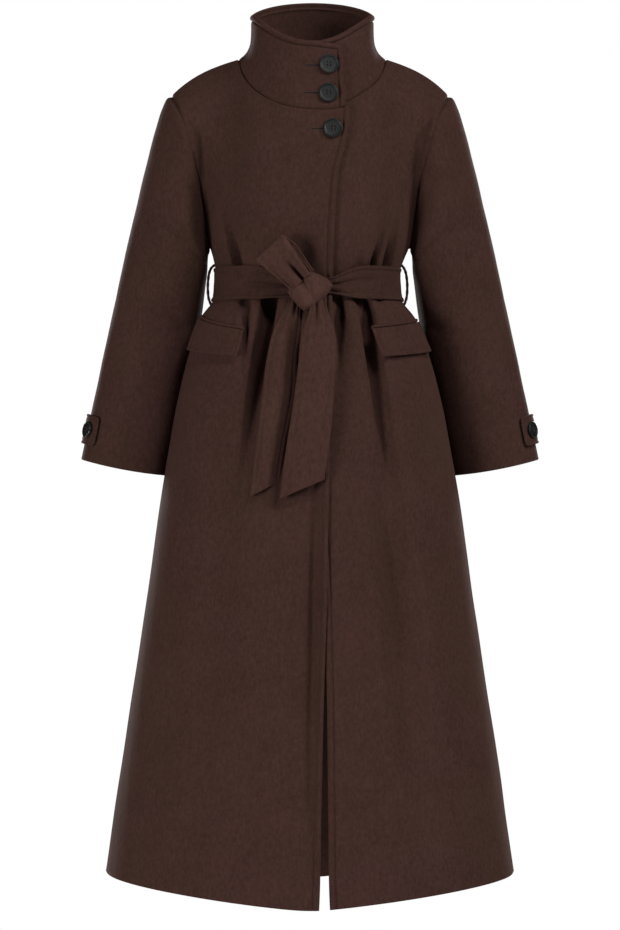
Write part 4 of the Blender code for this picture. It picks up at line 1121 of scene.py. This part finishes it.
def belt_tail(tail, material, thread):
    """A hanging belt end that lies on the skirt, gathered at the knot and cut off at a slant."""
    top, bottom = tail.strips[0].height, tail.strips[-1].height
    near_end = bottom + np.array(TAIL_STEPS)
    heights = np.concatenate((np.linspace(top, bottom + 0.014, 84), near_end))[:, None]
    upward = tail.strips[::-1]
    left = curve_through(upward, "height", "left", heights)
    right = curve_through(upward, "height", "right", heights)
    width = strip_widths(12)[None, :]
    from_top = top - heights
    progress = from_top / (top - bottom)
    x = left + (right - left) * (width + 0.5)
    z = heights + tail.slant * width * progress ** 2
    folds = 0.0
    for pleat in tail.pleats:
        folds = folds - pleat.depth * bell((width - pleat.place) / pleat.width) * bell(from_top / pleat.reach)
    curl = tail.roll * (0.25 - width ** 2) - tail.fall * ease((width + 0.2) / 0.7) * ease(from_top / 0.06)
    curl = curl + unevenness(np.stack((x, 0 * x, z), axis=-1), TAIL_RIPPLES)
    raised = tail.lift * (1 - 0.55 * progress) * (0.45 + 0.55 * ease(from_top / 0.045))
    grid = np.stack((x, front_y(x, z) - raised - DOUBLE_CLOTH - curl - folds, z), axis=-1)
    normal = normals_of(grid)
    if normal[..., 1].mean() > 0:
        normal = -normal
    from_side = BELT_WIDTH * (0.5 - np.abs(width)) + 0.0 * heights
    border = np.minimum(from_side, from_last(lengths_along(grid, 0), 0))
    relief = stitched_edge(border, BOW_SEWING)
    made, outer = cloth(tail.name, grid, normal, relief, border, DOUBLE_CLOTH, material)
    column = int(np.argmin(np.abs(from_side[0] - BELT_STITCH)))
    span = slice(4, len(heights) - 8)
    lines = [stitch_row("stitches_%s_%s" % (tail.name, word), outer[span, place], normal[span, place],
                        thread)
             for word, place in (("one", column), ("two", -1 - column))]


def belt_keeper(name, hand, material):
    """The cord-like loop at the side seam that the belt runs through."""
    top_z, low_z = BELT_TOP + 0.0065, BELT_BOTTOM - 0.0060
    out = side_x(hand, WAIST) + KEEPER_STAND_OFF
    start = side_x(hand, top_z)
    end = side_x(hand, low_z)
    path = np.array(((start - 0.002, top_z), (out - 0.003, top_z - 0.005), (out + 0.001, top_z - 0.014),
                     (out + 0.003, WAIST), (out + 0.002, low_z + 0.013), (end - 0.002, low_z + 0.003)))
    place = np.linspace(0.0, len(path) - 1.0, KEEPER_RINGS)
    rough = np.stack([np.interp(place, range(len(path)), path[:, k]) for k in range(2)], axis=-1)
    for _ in range(30):
        rough[1:-1] += 0.5 * ((rough[:-2] + rough[2:]) / 2 - rough[1:-1])
    along = np.gradient(rough, axis=0)
    along = along / np.linalg.norm(along, axis=1, keepdims=True)
    turn = np.linspace(0.0, 2 * math.pi, KEEPER_SIDES + 1)[None, :-1]
    twist = 1 + 0.10 * np.cos(2 * turn + 0.9 * np.arange(KEEPER_RINGS)[:, None])
    radius = KEEPER_THICKNESS / 2 * twist
    x = rough[:, :1] - along[:, 1:] * radius * np.cos(turn)
    z = rough[:, 1:] + along[:, :1] * radius * np.cos(turn)
    y = radius * np.sin(turn)
    points = np.stack((hand * x, y, z), axis=-1)
    faces = capped_tube(KEEPER_RINGS, KEEPER_SIDES)
    piece("cord_" + name, points, faces, material, name)


# Pockets.

def pocket_grid(pocket, down, share):
    """Points of a flap or welt on the smooth front of the body, and their normals."""
    front_x, front_z = [top + (low - top) * down for top, low in zip(pocket.front_top, pocket.front_low)]
    z = front_z + (pocket.side_top + (pocket.side_low - pocket.side_top) * down - front_z) * share
    start = pocket.hand * angle_at(pocket.hand * front_x, front_z)
    angle = start + (FLAP_SIDE_ANGLE - start) * share
    grid = ring(-1, pocket.hand * angle, z, folded=False)
    return grid, outward(grid)


def close_shares(count, size):
    """Shares from 0 to 1, close together at both ends, for a piece of a given size."""
    steps = np.array(SMALL_STEPS) / size
    return np.concatenate((steps, np.linspace(steps[-1], 1 - steps[-1], count)[1:-1], 1 - steps[::-1]))


def flap(name, pocket, material, thread):
    down = close_shares(14, FLAP_HEIGHT)[:, None]
    share = close_shares(26, FLAP_WIDTH)[None, :]
    grid, normal = pocket_grid(pocket, down, share)
    across = lengths_along(grid, 1)
    drop = lengths_along(grid, 0)
    border = np.minimum(np.minimum(across, from_last(across, 1)), from_last(drop, 0))
    lift = LEAST_LIFT + FLAP_LIFT * down ** 1.5 + unevenness(grid, FLAP_RIPPLES) * down
    relief = stitched_edge(border, FLAP_SEWING)
    base = grid + (lift + DOUBLE_CLOTH)[..., None] * normal
    made, outer = cloth(name, base, normal, relief, border, DOUBLE_CLOTH, material)
    row = int(np.argmin(np.abs(from_last(drop, 0)[:, 20] - TAB_STITCH)))
    line = stitch_row("stitches_" + name, outer[row, 6:-6], normal[row, 6:-6], thread)


def welt(name, pocket, material):
    """The narrow turned strip over the pocket mouth, just above the flap."""
    x, front_top = pocket.front_top
    low = front_top + WELT_GAP
    side_low = pocket.side_top + WELT_GAP
    strip = Pocket(pocket.hand, (x, low + WELT_HEIGHT), (x, low), side_low + WELT_HEIGHT, side_low)
    down = np.linspace(0.0, 1.0, 15)[:, None]
    share = close_shares(40, FLAP_WIDTH)[None, :]
    grid, normal = pocket_grid(strip, down, share)
    across = lengths_along(grid, 1)
    end = np.minimum(across, from_last(across, 1))
    swell = WELT_SWELL * np.sqrt(np.maximum(np.sin(math.pi * down), 0.0)) * ease(end / 0.003 + 0.1)
    outer = grid + (swell + 0.0003)[..., None] * normal
    made = shell("cloth_" + name, outer, grid - 0.001 * normal, material, name)


# Cuff tabs.

def sleeve_surface(angle, place):
    grid = sleeve_points(angle, place)
    return grid, -normals_of(grid)


def tab_lift(share):
    """How far a tab stands off its sleeve, from its free front end to its sewn back end."""
    return TAB_LIFT * (1 - share) + LEAST_LIFT * share


def sleeve_tab(name, hand, material, thread):
    """The strap round the outside of the cuff, with a squared front end and rounded corners."""
    share = close_shares(60, TAB_LENGTH)[None, :]
    width = 2 * close_shares(12, TAB_WIDTH)[:, None] - 1
    middle, half = sum(TAB_PLACES) / 2, (TAB_PLACES[1] - TAB_PLACES[0]) / 2
    angle = TAB_FRONT_ANGLE + 0.07 * width ** 8 * (1 - share) ** 2
    angle = angle + (TAB_BACK_ANGLE - TAB_FRONT_ANGLE) * share
    grid, normal = sleeve_surface(angle, middle + half * width + 0.0 * share)
    across = lengths_along(grid, 1)
    drop = lengths_along(grid, 0)
    border = np.minimum(np.minimum(drop, from_last(drop, 0)), across)
    base = grid + (tab_lift(share) + DOUBLE_CLOTH + 0.0 * width)[..., None] * normal
    outer, inner = walls(base, normal, stitched_edge(border, TAB_SEWING), border, DOUBLE_CLOTH)
    for skin in (outer, inner, normal):
        skin[..., 0] *= hand
    made = shell("cloth_" + name, outer, inner, material, name)
    row = int(np.argmin(np.abs(drop[:, 30] - TAB_STITCH)))
    lines = [stitch_row("stitches_%s_%s" % (name, word), outer[place, 6:], normal[place, 6:], thread)
             for word, place in (("low", row), ("top", -1 - row))]


# Buttons and buttonholes.

def button(name, point, normal, radius, material, thread):
    """A four-hole button with a raised rim and its sewing thread."""
    profile = np.array(BUTTON_PROFILE)
    along = lengths_along(profile, 0)
    place = np.linspace(0.0, along[-1], BUTTON_RINGS)
    outline = np.stack([np.interp(place, along, profile[:, k]) for k in range(2)], axis=-1)
    for _ in range(3):
        outline[1:-1] = (outline[:-2] + 2 * outline[1:-1] + outline[2:]) / 4
    turn = np.linspace(0.0, 2 * math.pi, BUTTON_SIDES + 1)[None, :-1]
    x = outline[:, :1] * np.cos(turn)
    y = outline[:, :1] * np.sin(turn)
    z = outline[:, 1:] + 0.0 * turn
    on_top = (np.arange(BUTTON_RINGS) < TOP_RINGS)[:, None]
    for hole_x in (-HOLE_OFFSET, HOLE_OFFSET):
        for hole_y in (-HOLE_OFFSET, HOLE_OFFSET):
            away = np.hypot(x - hole_x, y - hole_y)
            z = z - HOLE_DEPTH * ease((HOLE_RADIUS - away) / 0.03 + 0.5) * on_top
    turned = np.array(Vector(normal).to_track_quat("Z", "Y").to_matrix())
    seat = point + BUTTON_GAP * np.asarray(normal)
    points = np.stack((x, y, z), axis=-1) * radius @ turned.T + seat
    faces = [face[::-1] for face in capped_tube(BUTTON_RINGS, BUTTON_SIDES)]
    piece("disc_" + name, points, faces, material, name)
    for word, hole_y in (("low", -HOLE_OFFSET), ("top", HOLE_OFFSET)):
        line = np.array([(HOLE_OFFSET * across, hole_y, height) for across, height in THREAD_ARCH])
        thick_thread("thread_%s_%s" % (name, word), line * radius @ turned.T + seat, thread)


def thick_thread(name, line, material):
    """A round thread along a few points."""
    curve = bpy.data.curves.new(name, "CURVE")
    curve.dimensions = "3D"
    curve.bevel_depth = BUTTON_THREAD_RADIUS
    curve.bevel_resolution = 3
    curve.use_fill_caps = True
    spline = curve.splines.new("POLY")
    spline.points.add(len(line) - 1)
    for spot, place in zip(spline.points, line):
        spot.co = (*place, 1.0)
    curve.materials.append(material)
    made = bpy.data.objects.new(name, curve)
    bpy.context.scene.collection.objects.link(made)
    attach(made, "root")


def surface_spot(grid, x, z):
    """The point of the front part of a grid nearest a place seen from the front, and its normal."""
    normal = normals_of(grid)
    away = np.hypot(grid[..., 0] - x, grid[..., 2] - z) + np.where(grid[..., 1] > 0, 1.0, 0.0)
    row, column = np.unravel_index(np.argmin(away), away.shape)
    facing = normal[row, column]
    facing = facing if facing[1] < 0 else -facing
    point = grid[row, column] + (x - grid[row, column, 0], 0.0, z - grid[row, column, 2])
    point[1] = grid[row, column, 1] - ((point - grid[row, column]) @ facing) / facing[1]
    return point, facing


def buttonhole(hole, grid, thread, slit):
    """A near-black strip of painted shadow for the slit, with a border of close upright stitches, sewn on the
    cloth.
    """
    spots = [surface_spot(grid, x, hole.height) for x in np.linspace(hole.left, hole.right, HOLE_STITCHES)]
    middle = np.array([spot for spot, _ in spots])[None]
    facings = np.array([facing for _, facing in spots])[None]
    widening = 0.10 + 0.90 * ease(1.4 * np.linspace(0.0, 1.0, HOLE_STITCHES) - 0.2)
    rims = np.zeros((2, HOLE_STITCHES, 3))
    rims[0, :, 2] = -SLIT_HALF_HEIGHT * widening
    rims[1, :, 2] = SLIT_HALF_HEIGHT * widening
    outer = middle + SLIT_LIFT * facings + rims
    # the slit is a thin near-black sheet of painted shadow
    shell("slit_" + hole.name, outer, middle - SLIT_DEPTH * facings + rims, slit, None)
    points, faces = [], []
    half_step = 0.40 * (hole.right - hole.left) / HOLE_STITCHES
    for spot, facing in spots:
        for side in (-1, 1):
            first = len(points)
            for bar in BAR_PROFILE:
                for shift in (-half_step, half_step):
                    points.append(spot + bar.lift * facing + (shift, 0.0, side * bar.away))
            for face in BAR_FACES:
                corners = tuple(first + corner for corner in face)
                faces.append(corners if side > 0 else corners[::-1])
    piece("buttonhole_" + hole.name, np.array(points), faces, thread)


def collar_spot(x, up):
    """A point of the collar's over end and its outward normal."""
    angle = math.asin(x / COLLAR_RADIUS)
    step = 0.02
    grid = collar_points(np.array([[angle + step, angle, angle - step]]),
                         np.array([[up - step], [up], [up + step]]))
    normal = normals_of(grid)[1, 1]
    return grid[1, 1], normal if normal[1] < 0 else -normal


def buttons(chest_grid, material, thread):
    for place in COLLAR_BUTTONS:
        button(place.name, *collar_spot(place.x, place.up), BUTTON_RADIUS, material, thread)
    chest = surface_spot(chest_grid, CHEST_BUTTON.x, CHEST_BUTTON.up)
    button(CHEST_BUTTON.name, *chest, BUTTON_RADIUS, material, thread)
    angle = CUFF_BUTTON_ANGLE + np.array([[-0.02, 0.0, 0.02]])
    place = sum(TAB_PLACES) / 2 + np.array([[-0.01], [0.0], [0.01]])
    grid, normal = sleeve_surface(angle, place)
    along = (CUFF_BUTTON_ANGLE - TAB_FRONT_ANGLE) / (TAB_BACK_ANGLE - TAB_FRONT_ANGLE)
    point = grid[1, 1] + (tab_lift(along) + DOUBLE_CLOTH) * normal[1, 1]
    for name, hand in (("button_cuff_right", -1), ("button_cuff_left", 1)):
        flipped = np.array((hand, 1.0, 1.0))
        button(name, point * flipped, normal[1, 1] * flipped, CUFF_BUTTON_RADIUS, material, thread)


def buttonholes(chest_grid, collar_grid, thread, slit):
    over_half = collar_grid[:, :collar_grid.shape[1] // 2]
    for hole in COLLAR_HOLES:
        buttonhole(hole, over_half, thread, slit)
    buttonhole(CHEST_HOLE, chest_grid, thread, slit)


# Materials.

def new_material(name):
    """A material, its nodes, its shader and the object coordinates that its textures use."""
    made = bpy.data.materials.new(name)
    made.use_nodes = True
    tree = made.node_tree
    place = tree.nodes.new("ShaderNodeTexCoord").outputs["Object"]
    return made, tree, tree.nodes["Principled BSDF"], place


def noise(tree, coordinates, scale, detail, stretch=(1.0, 1.0, 1.0)):
    mapping = tree.nodes.new("ShaderNodeMapping")
    mapping.inputs["Scale"].default_value = stretch
    texture = tree.nodes.new("ShaderNodeTexNoise")
    texture.inputs["Scale"].default_value = scale
    texture.inputs["Detail"].default_value = detail
    texture.inputs["Roughness"].default_value = 0.6
    tree.links.new(coordinates, mapping.inputs["Vector"])
    tree.links.new(mapping.outputs["Vector"], texture.inputs["Vector"])
    return texture.outputs["Fac"]


def mixed(tree, factor, dark, light, low, high):
    """A colour between two others, driven by a texture between two of its values."""
    ramp = tree.nodes.new("ShaderNodeValToRGB")
    ramp.color_ramp.elements[0].position = low
    ramp.color_ramp.elements[0].color = (*dark, 1.0)
    ramp.color_ramp.elements[1].position = high
    ramp.color_ramp.elements[1].color = (*light, 1.0)
    tree.links.new(factor, ramp.inputs["Fac"])
    return ramp.outputs["Color"]


def multiplied(tree, one, two):
    """One colour times another."""
    product = tree.nodes.new("ShaderNodeVectorMath")
    product.operation = "MULTIPLY"
    tree.links.new(one, product.inputs[0])
    tree.links.new(two, product.inputs[1])
    return product.outputs["Vector"]


def bumped(tree, height, distance, strength, before=None):
    bump = tree.nodes.new("ShaderNodeBump")
    bump.inputs["Distance"].default_value = distance
    bump.inputs["Strength"].default_value = strength
    tree.links.new(height, bump.inputs["Height"])
    if before:
        tree.links.new(before, bump.inputs["Normal"])
    return bump.outputs["Normal"]


def added(tree, one, two, share):
    """One texture plus a share of another."""
    sum_node = tree.nodes.new("ShaderNodeMath")
    sum_node.operation = "MULTIPLY_ADD"
    sum_node.inputs[1].default_value = share
    tree.links.new(two, sum_node.inputs[0])
    tree.links.new(one, sum_node.inputs[2])
    return sum_node.outputs["Value"]


def ranged(tree, value, low, high, most=1.0):
    mapped = tree.nodes.new("ShaderNodeMapRange")
    mapped.inputs["From Max"].default_value = most
    mapped.inputs["To Min"].default_value = low
    mapped.inputs["To Max"].default_value = high
    tree.links.new(value, mapped.inputs["Value"])
    return mapped.outputs["Result"]


def wool_material(name, shade=1.0):
    """Brushed melton: a fine twill almost hidden under short nap, mottled by its fibres."""
    made, tree, shader, place = new_material(name)
    # A shade above 1 paints light into the colour, a shade below 1 paints shade.
    dark = [shade * part for part in WOOL_DARK]
    light = [shade * part for part in WOOL_LIGHT]
    broad = noise(tree, place, 16.0, 3.0)
    mottle = noise(tree, place, 230.0, 3.0, (1.0, 1.0, 0.6))
    fibres = noise(tree, place, 1500.0, 2.0, (1.0, 1.0, 0.35))
    twill = tree.nodes.new("ShaderNodeTexWave")
    twill.bands_direction = "DIAGONAL"
    twill.inputs["Scale"].default_value = 230.0
    twill.inputs["Distortion"].default_value = 1.6
    twill.inputs["Detail"].default_value = 2.0
    twill.inputs["Detail Scale"].default_value = 1.4
    tree.links.new(place, twill.inputs["Vector"])
    tone = added(tree, added(tree, mottle, broad, 0.35), fibres, 0.8)
    colour = mixed(tree, ranged(tree, tone, 0.0, 1.0, 2.15), dark, light, 0.37, 0.63)
    warmth = mixed(tree, noise(tree, place, 7.0, 2.0), WARM_TINT, COOL_TINT, 0.35, 0.65)
    tree.links.new(multiplied(tree, colour, warmth), shader.inputs["Base Color"])
    tree.links.new(ranged(tree, mottle, 0.80, 0.98), shader.inputs["Roughness"])
    shader.inputs["Specular IOR Level"].default_value = 0.06
    shader.inputs["Sheen Weight"].default_value = 0.05
    shader.inputs["Sheen Roughness"].default_value = 0.50
    shader.inputs["Sheen Tint"].default_value = SHEEN_TINT
    weave = bumped(tree, twill.outputs["Fac"], 0.00022, 0.35)
    nap = bumped(tree, added(tree, mottle, fibres, 0.5), 0.0006, 0.65, weave)
    tree.links.new(nap, shader.inputs["Normal"])
    return made


def thread_material():
    """Sewing thread in the coat's colour: a slight twist and a soft sheen."""
    made, tree, shader, place = new_material("thread")
    twist = noise(tree, place, 2200.0, 2.0)
    light = tuple(1.5 * part for part in THREAD)
    tree.links.new(mixed(tree, twist, THREAD, light, 0.35, 0.7), shader.inputs["Base Color"])
    tree.links.new(ranged(tree, twist, 0.55, 0.75), shader.inputs["Roughness"])
    tree.links.new(bumped(tree, twist, 0.0001, 0.4), shader.inputs["Normal"])
    return made


def horn_material():
    """Satin charcoal button with faint streaks."""
    made, tree, shader, place = new_material("horn")
    streaks = noise(tree, place, 170.0, 4.0, (1.0, 1.0, 3.0))
    grain = noise(tree, place, 1400.0, 2.0)
    tree.links.new(mixed(tree, streaks, HORN_DARK, HORN_LIGHT, 0.3, 0.75), shader.inputs["Base Color"])
    tree.links.new(ranged(tree, streaks, 0.36, 0.52), shader.inputs["Roughness"])
    shader.inputs["Specular IOR Level"].default_value = 0.22
    tree.links.new(bumped(tree, grain, 0.00006, 0.3), shader.inputs["Normal"])
    return made


def floor_material():
    made, tree, shader, place = new_material("floor")
    cloudy = noise(tree, place, 2.0, 2.0)
    lighter = tuple(part * 1.05 for part in FLOOR_COLOUR)
    tree.links.new(mixed(tree, cloudy, FLOOR_COLOUR, lighter, 0.3, 0.7), shader.inputs["Base Color"])
    shader.inputs["Roughness"].default_value = 0.9
    return made


# Studio.

def floor():
    """A plain pale disc well below the hem."""
    mesh = bpy.data.meshes.new("floor")
    turn = np.linspace(0.0, 2 * math.pi, FLOOR_SIDES + 1)[:-1]
    points = [(FLOOR_RADIUS * math.cos(t), FLOOR_RADIUS * math.sin(t), FLOOR_HEIGHT) for t in turn]
    mesh.from_pydata(points, [], [tuple(range(FLOOR_SIDES))])
    mesh.materials.append(floor_material())
    made = bpy.data.objects.new("floor", mesh)
    bpy.context.scene.collection.objects.link(made)


def area_light(row):
    light = bpy.data.lights.new(row.name, "AREA")
    light.shape = "DISK"
    light.size = row.size
    light.energy = row.power
    made = bpy.data.objects.new(row.name, light)
    made.location = row.place
    made.rotation_euler = (Vector(row.target) - Vector(row.place)).to_track_quat("-Z", "Y").to_euler()
    bpy.context.scene.collection.objects.link(made)


def studio():
    """White surroundings, with light from the right, low on the left, above in front and behind."""
    world = bpy.data.worlds.new("studio")
    world.use_nodes = True
    tree = world.node_tree
    shade = tree.nodes["Background"]
    shade.inputs["Color"].default_value = WHITE
    shade.inputs["Strength"].default_value = SURROUND
    white = tree.nodes.new("ShaderNodeBackground")
    white.inputs["Color"].default_value = WHITE
    white.inputs["Strength"].default_value = 1.0
    rays = tree.nodes.new("ShaderNodeLightPath")
    choose = tree.nodes.new("ShaderNodeMixShader")
    tree.links.new(rays.outputs["Is Camera Ray"], choose.inputs["Fac"])
    tree.links.new(shade.outputs["Background"], choose.inputs[1])
    tree.links.new(white.outputs["Background"], choose.inputs[2])
    tree.links.new(choose.outputs["Shader"], tree.nodes["World Output"].inputs["Surface"])
    bpy.context.scene.world = world
    for row in LIGHTS:
        area_light(row)
    bpy.context.scene.view_settings.view_transform = "Standard"


def camera():
    lens = bpy.data.cameras.new("camera")
    lens.lens = CAMERA_LENS
    lens.sensor_width = CAMERA_SENSOR
    lens.clip_end = 60.0
    made = bpy.data.objects.new("camera", lens)
    made.location = (0.0, -CAMERA_DISTANCE, CAMERA_HEIGHT)
    made.rotation_euler = (math.radians(90.0), 0.0, 0.0)
    bpy.context.scene.collection.objects.link(made)
    bpy.context.scene.camera = made


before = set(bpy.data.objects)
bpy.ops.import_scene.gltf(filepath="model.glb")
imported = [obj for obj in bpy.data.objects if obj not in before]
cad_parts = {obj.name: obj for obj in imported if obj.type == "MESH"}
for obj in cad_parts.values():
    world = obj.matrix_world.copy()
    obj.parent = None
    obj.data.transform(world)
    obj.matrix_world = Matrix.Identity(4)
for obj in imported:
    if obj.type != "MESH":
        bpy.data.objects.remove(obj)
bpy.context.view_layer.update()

wool = wool_material("wool")
# Painted shade: the belt band and keepers get a darker copy of the coat's wool.
belt_wool = wool_material("belt_wool", BELT_PAINTED_SHADE)
# Painted light: the hanging belt ends get a lighter copy of the coat's wool.
tail_wool_painted_light = wool_material("tail_wool_painted_light", TAIL_PAINTED_LIGHT)
# Painted light: the knot turns and bow loop get a much lighter copy of the coat's wool.
bow_wool_painted_light = wool_material("bow_wool_painted_light", BOW_PAINTED_LIGHT)
thread = thread_material()
horn = horn_material()

over_front = front("front_right", -1, "over", wool, thread)
front("front_left", 1, "under", wool, thread)
back(wool)
sleeve("sleeve_right", -1, wool)
sleeve("sleeve_left", 1, wool)
collar_skin = collar(wool, thread)
belt_band(belt_wool, thread)
for knot_row in KNOT_TURNS:
    knot_turn(knot_row, bow_wool_painted_light)
belt_loop(bow_wool_painted_light, thread)
for tail_row in TAILS:
    belt_tail(tail_row, tail_wool_painted_light, thread)
for word, pocket in (("right", RIGHT_POCKET), ("left", LEFT_POCKET)):
    flap("flap_" + word, pocket, wool, thread)
    welt("welt_" + word, pocket, wool)
    belt_keeper("keeper_" + word, pocket.hand, belt_wool)
    sleeve_tab("tab_" + word, pocket.hand, wool, thread)
buttons(over_front, horn, thread)
# The slits get a near-black copy of the wool as painted shadow.
buttonholes(over_front, collar_skin, thread, wool_material("slit", SLIT_PAINTED_SHADE))

floor()
studio()
camera()
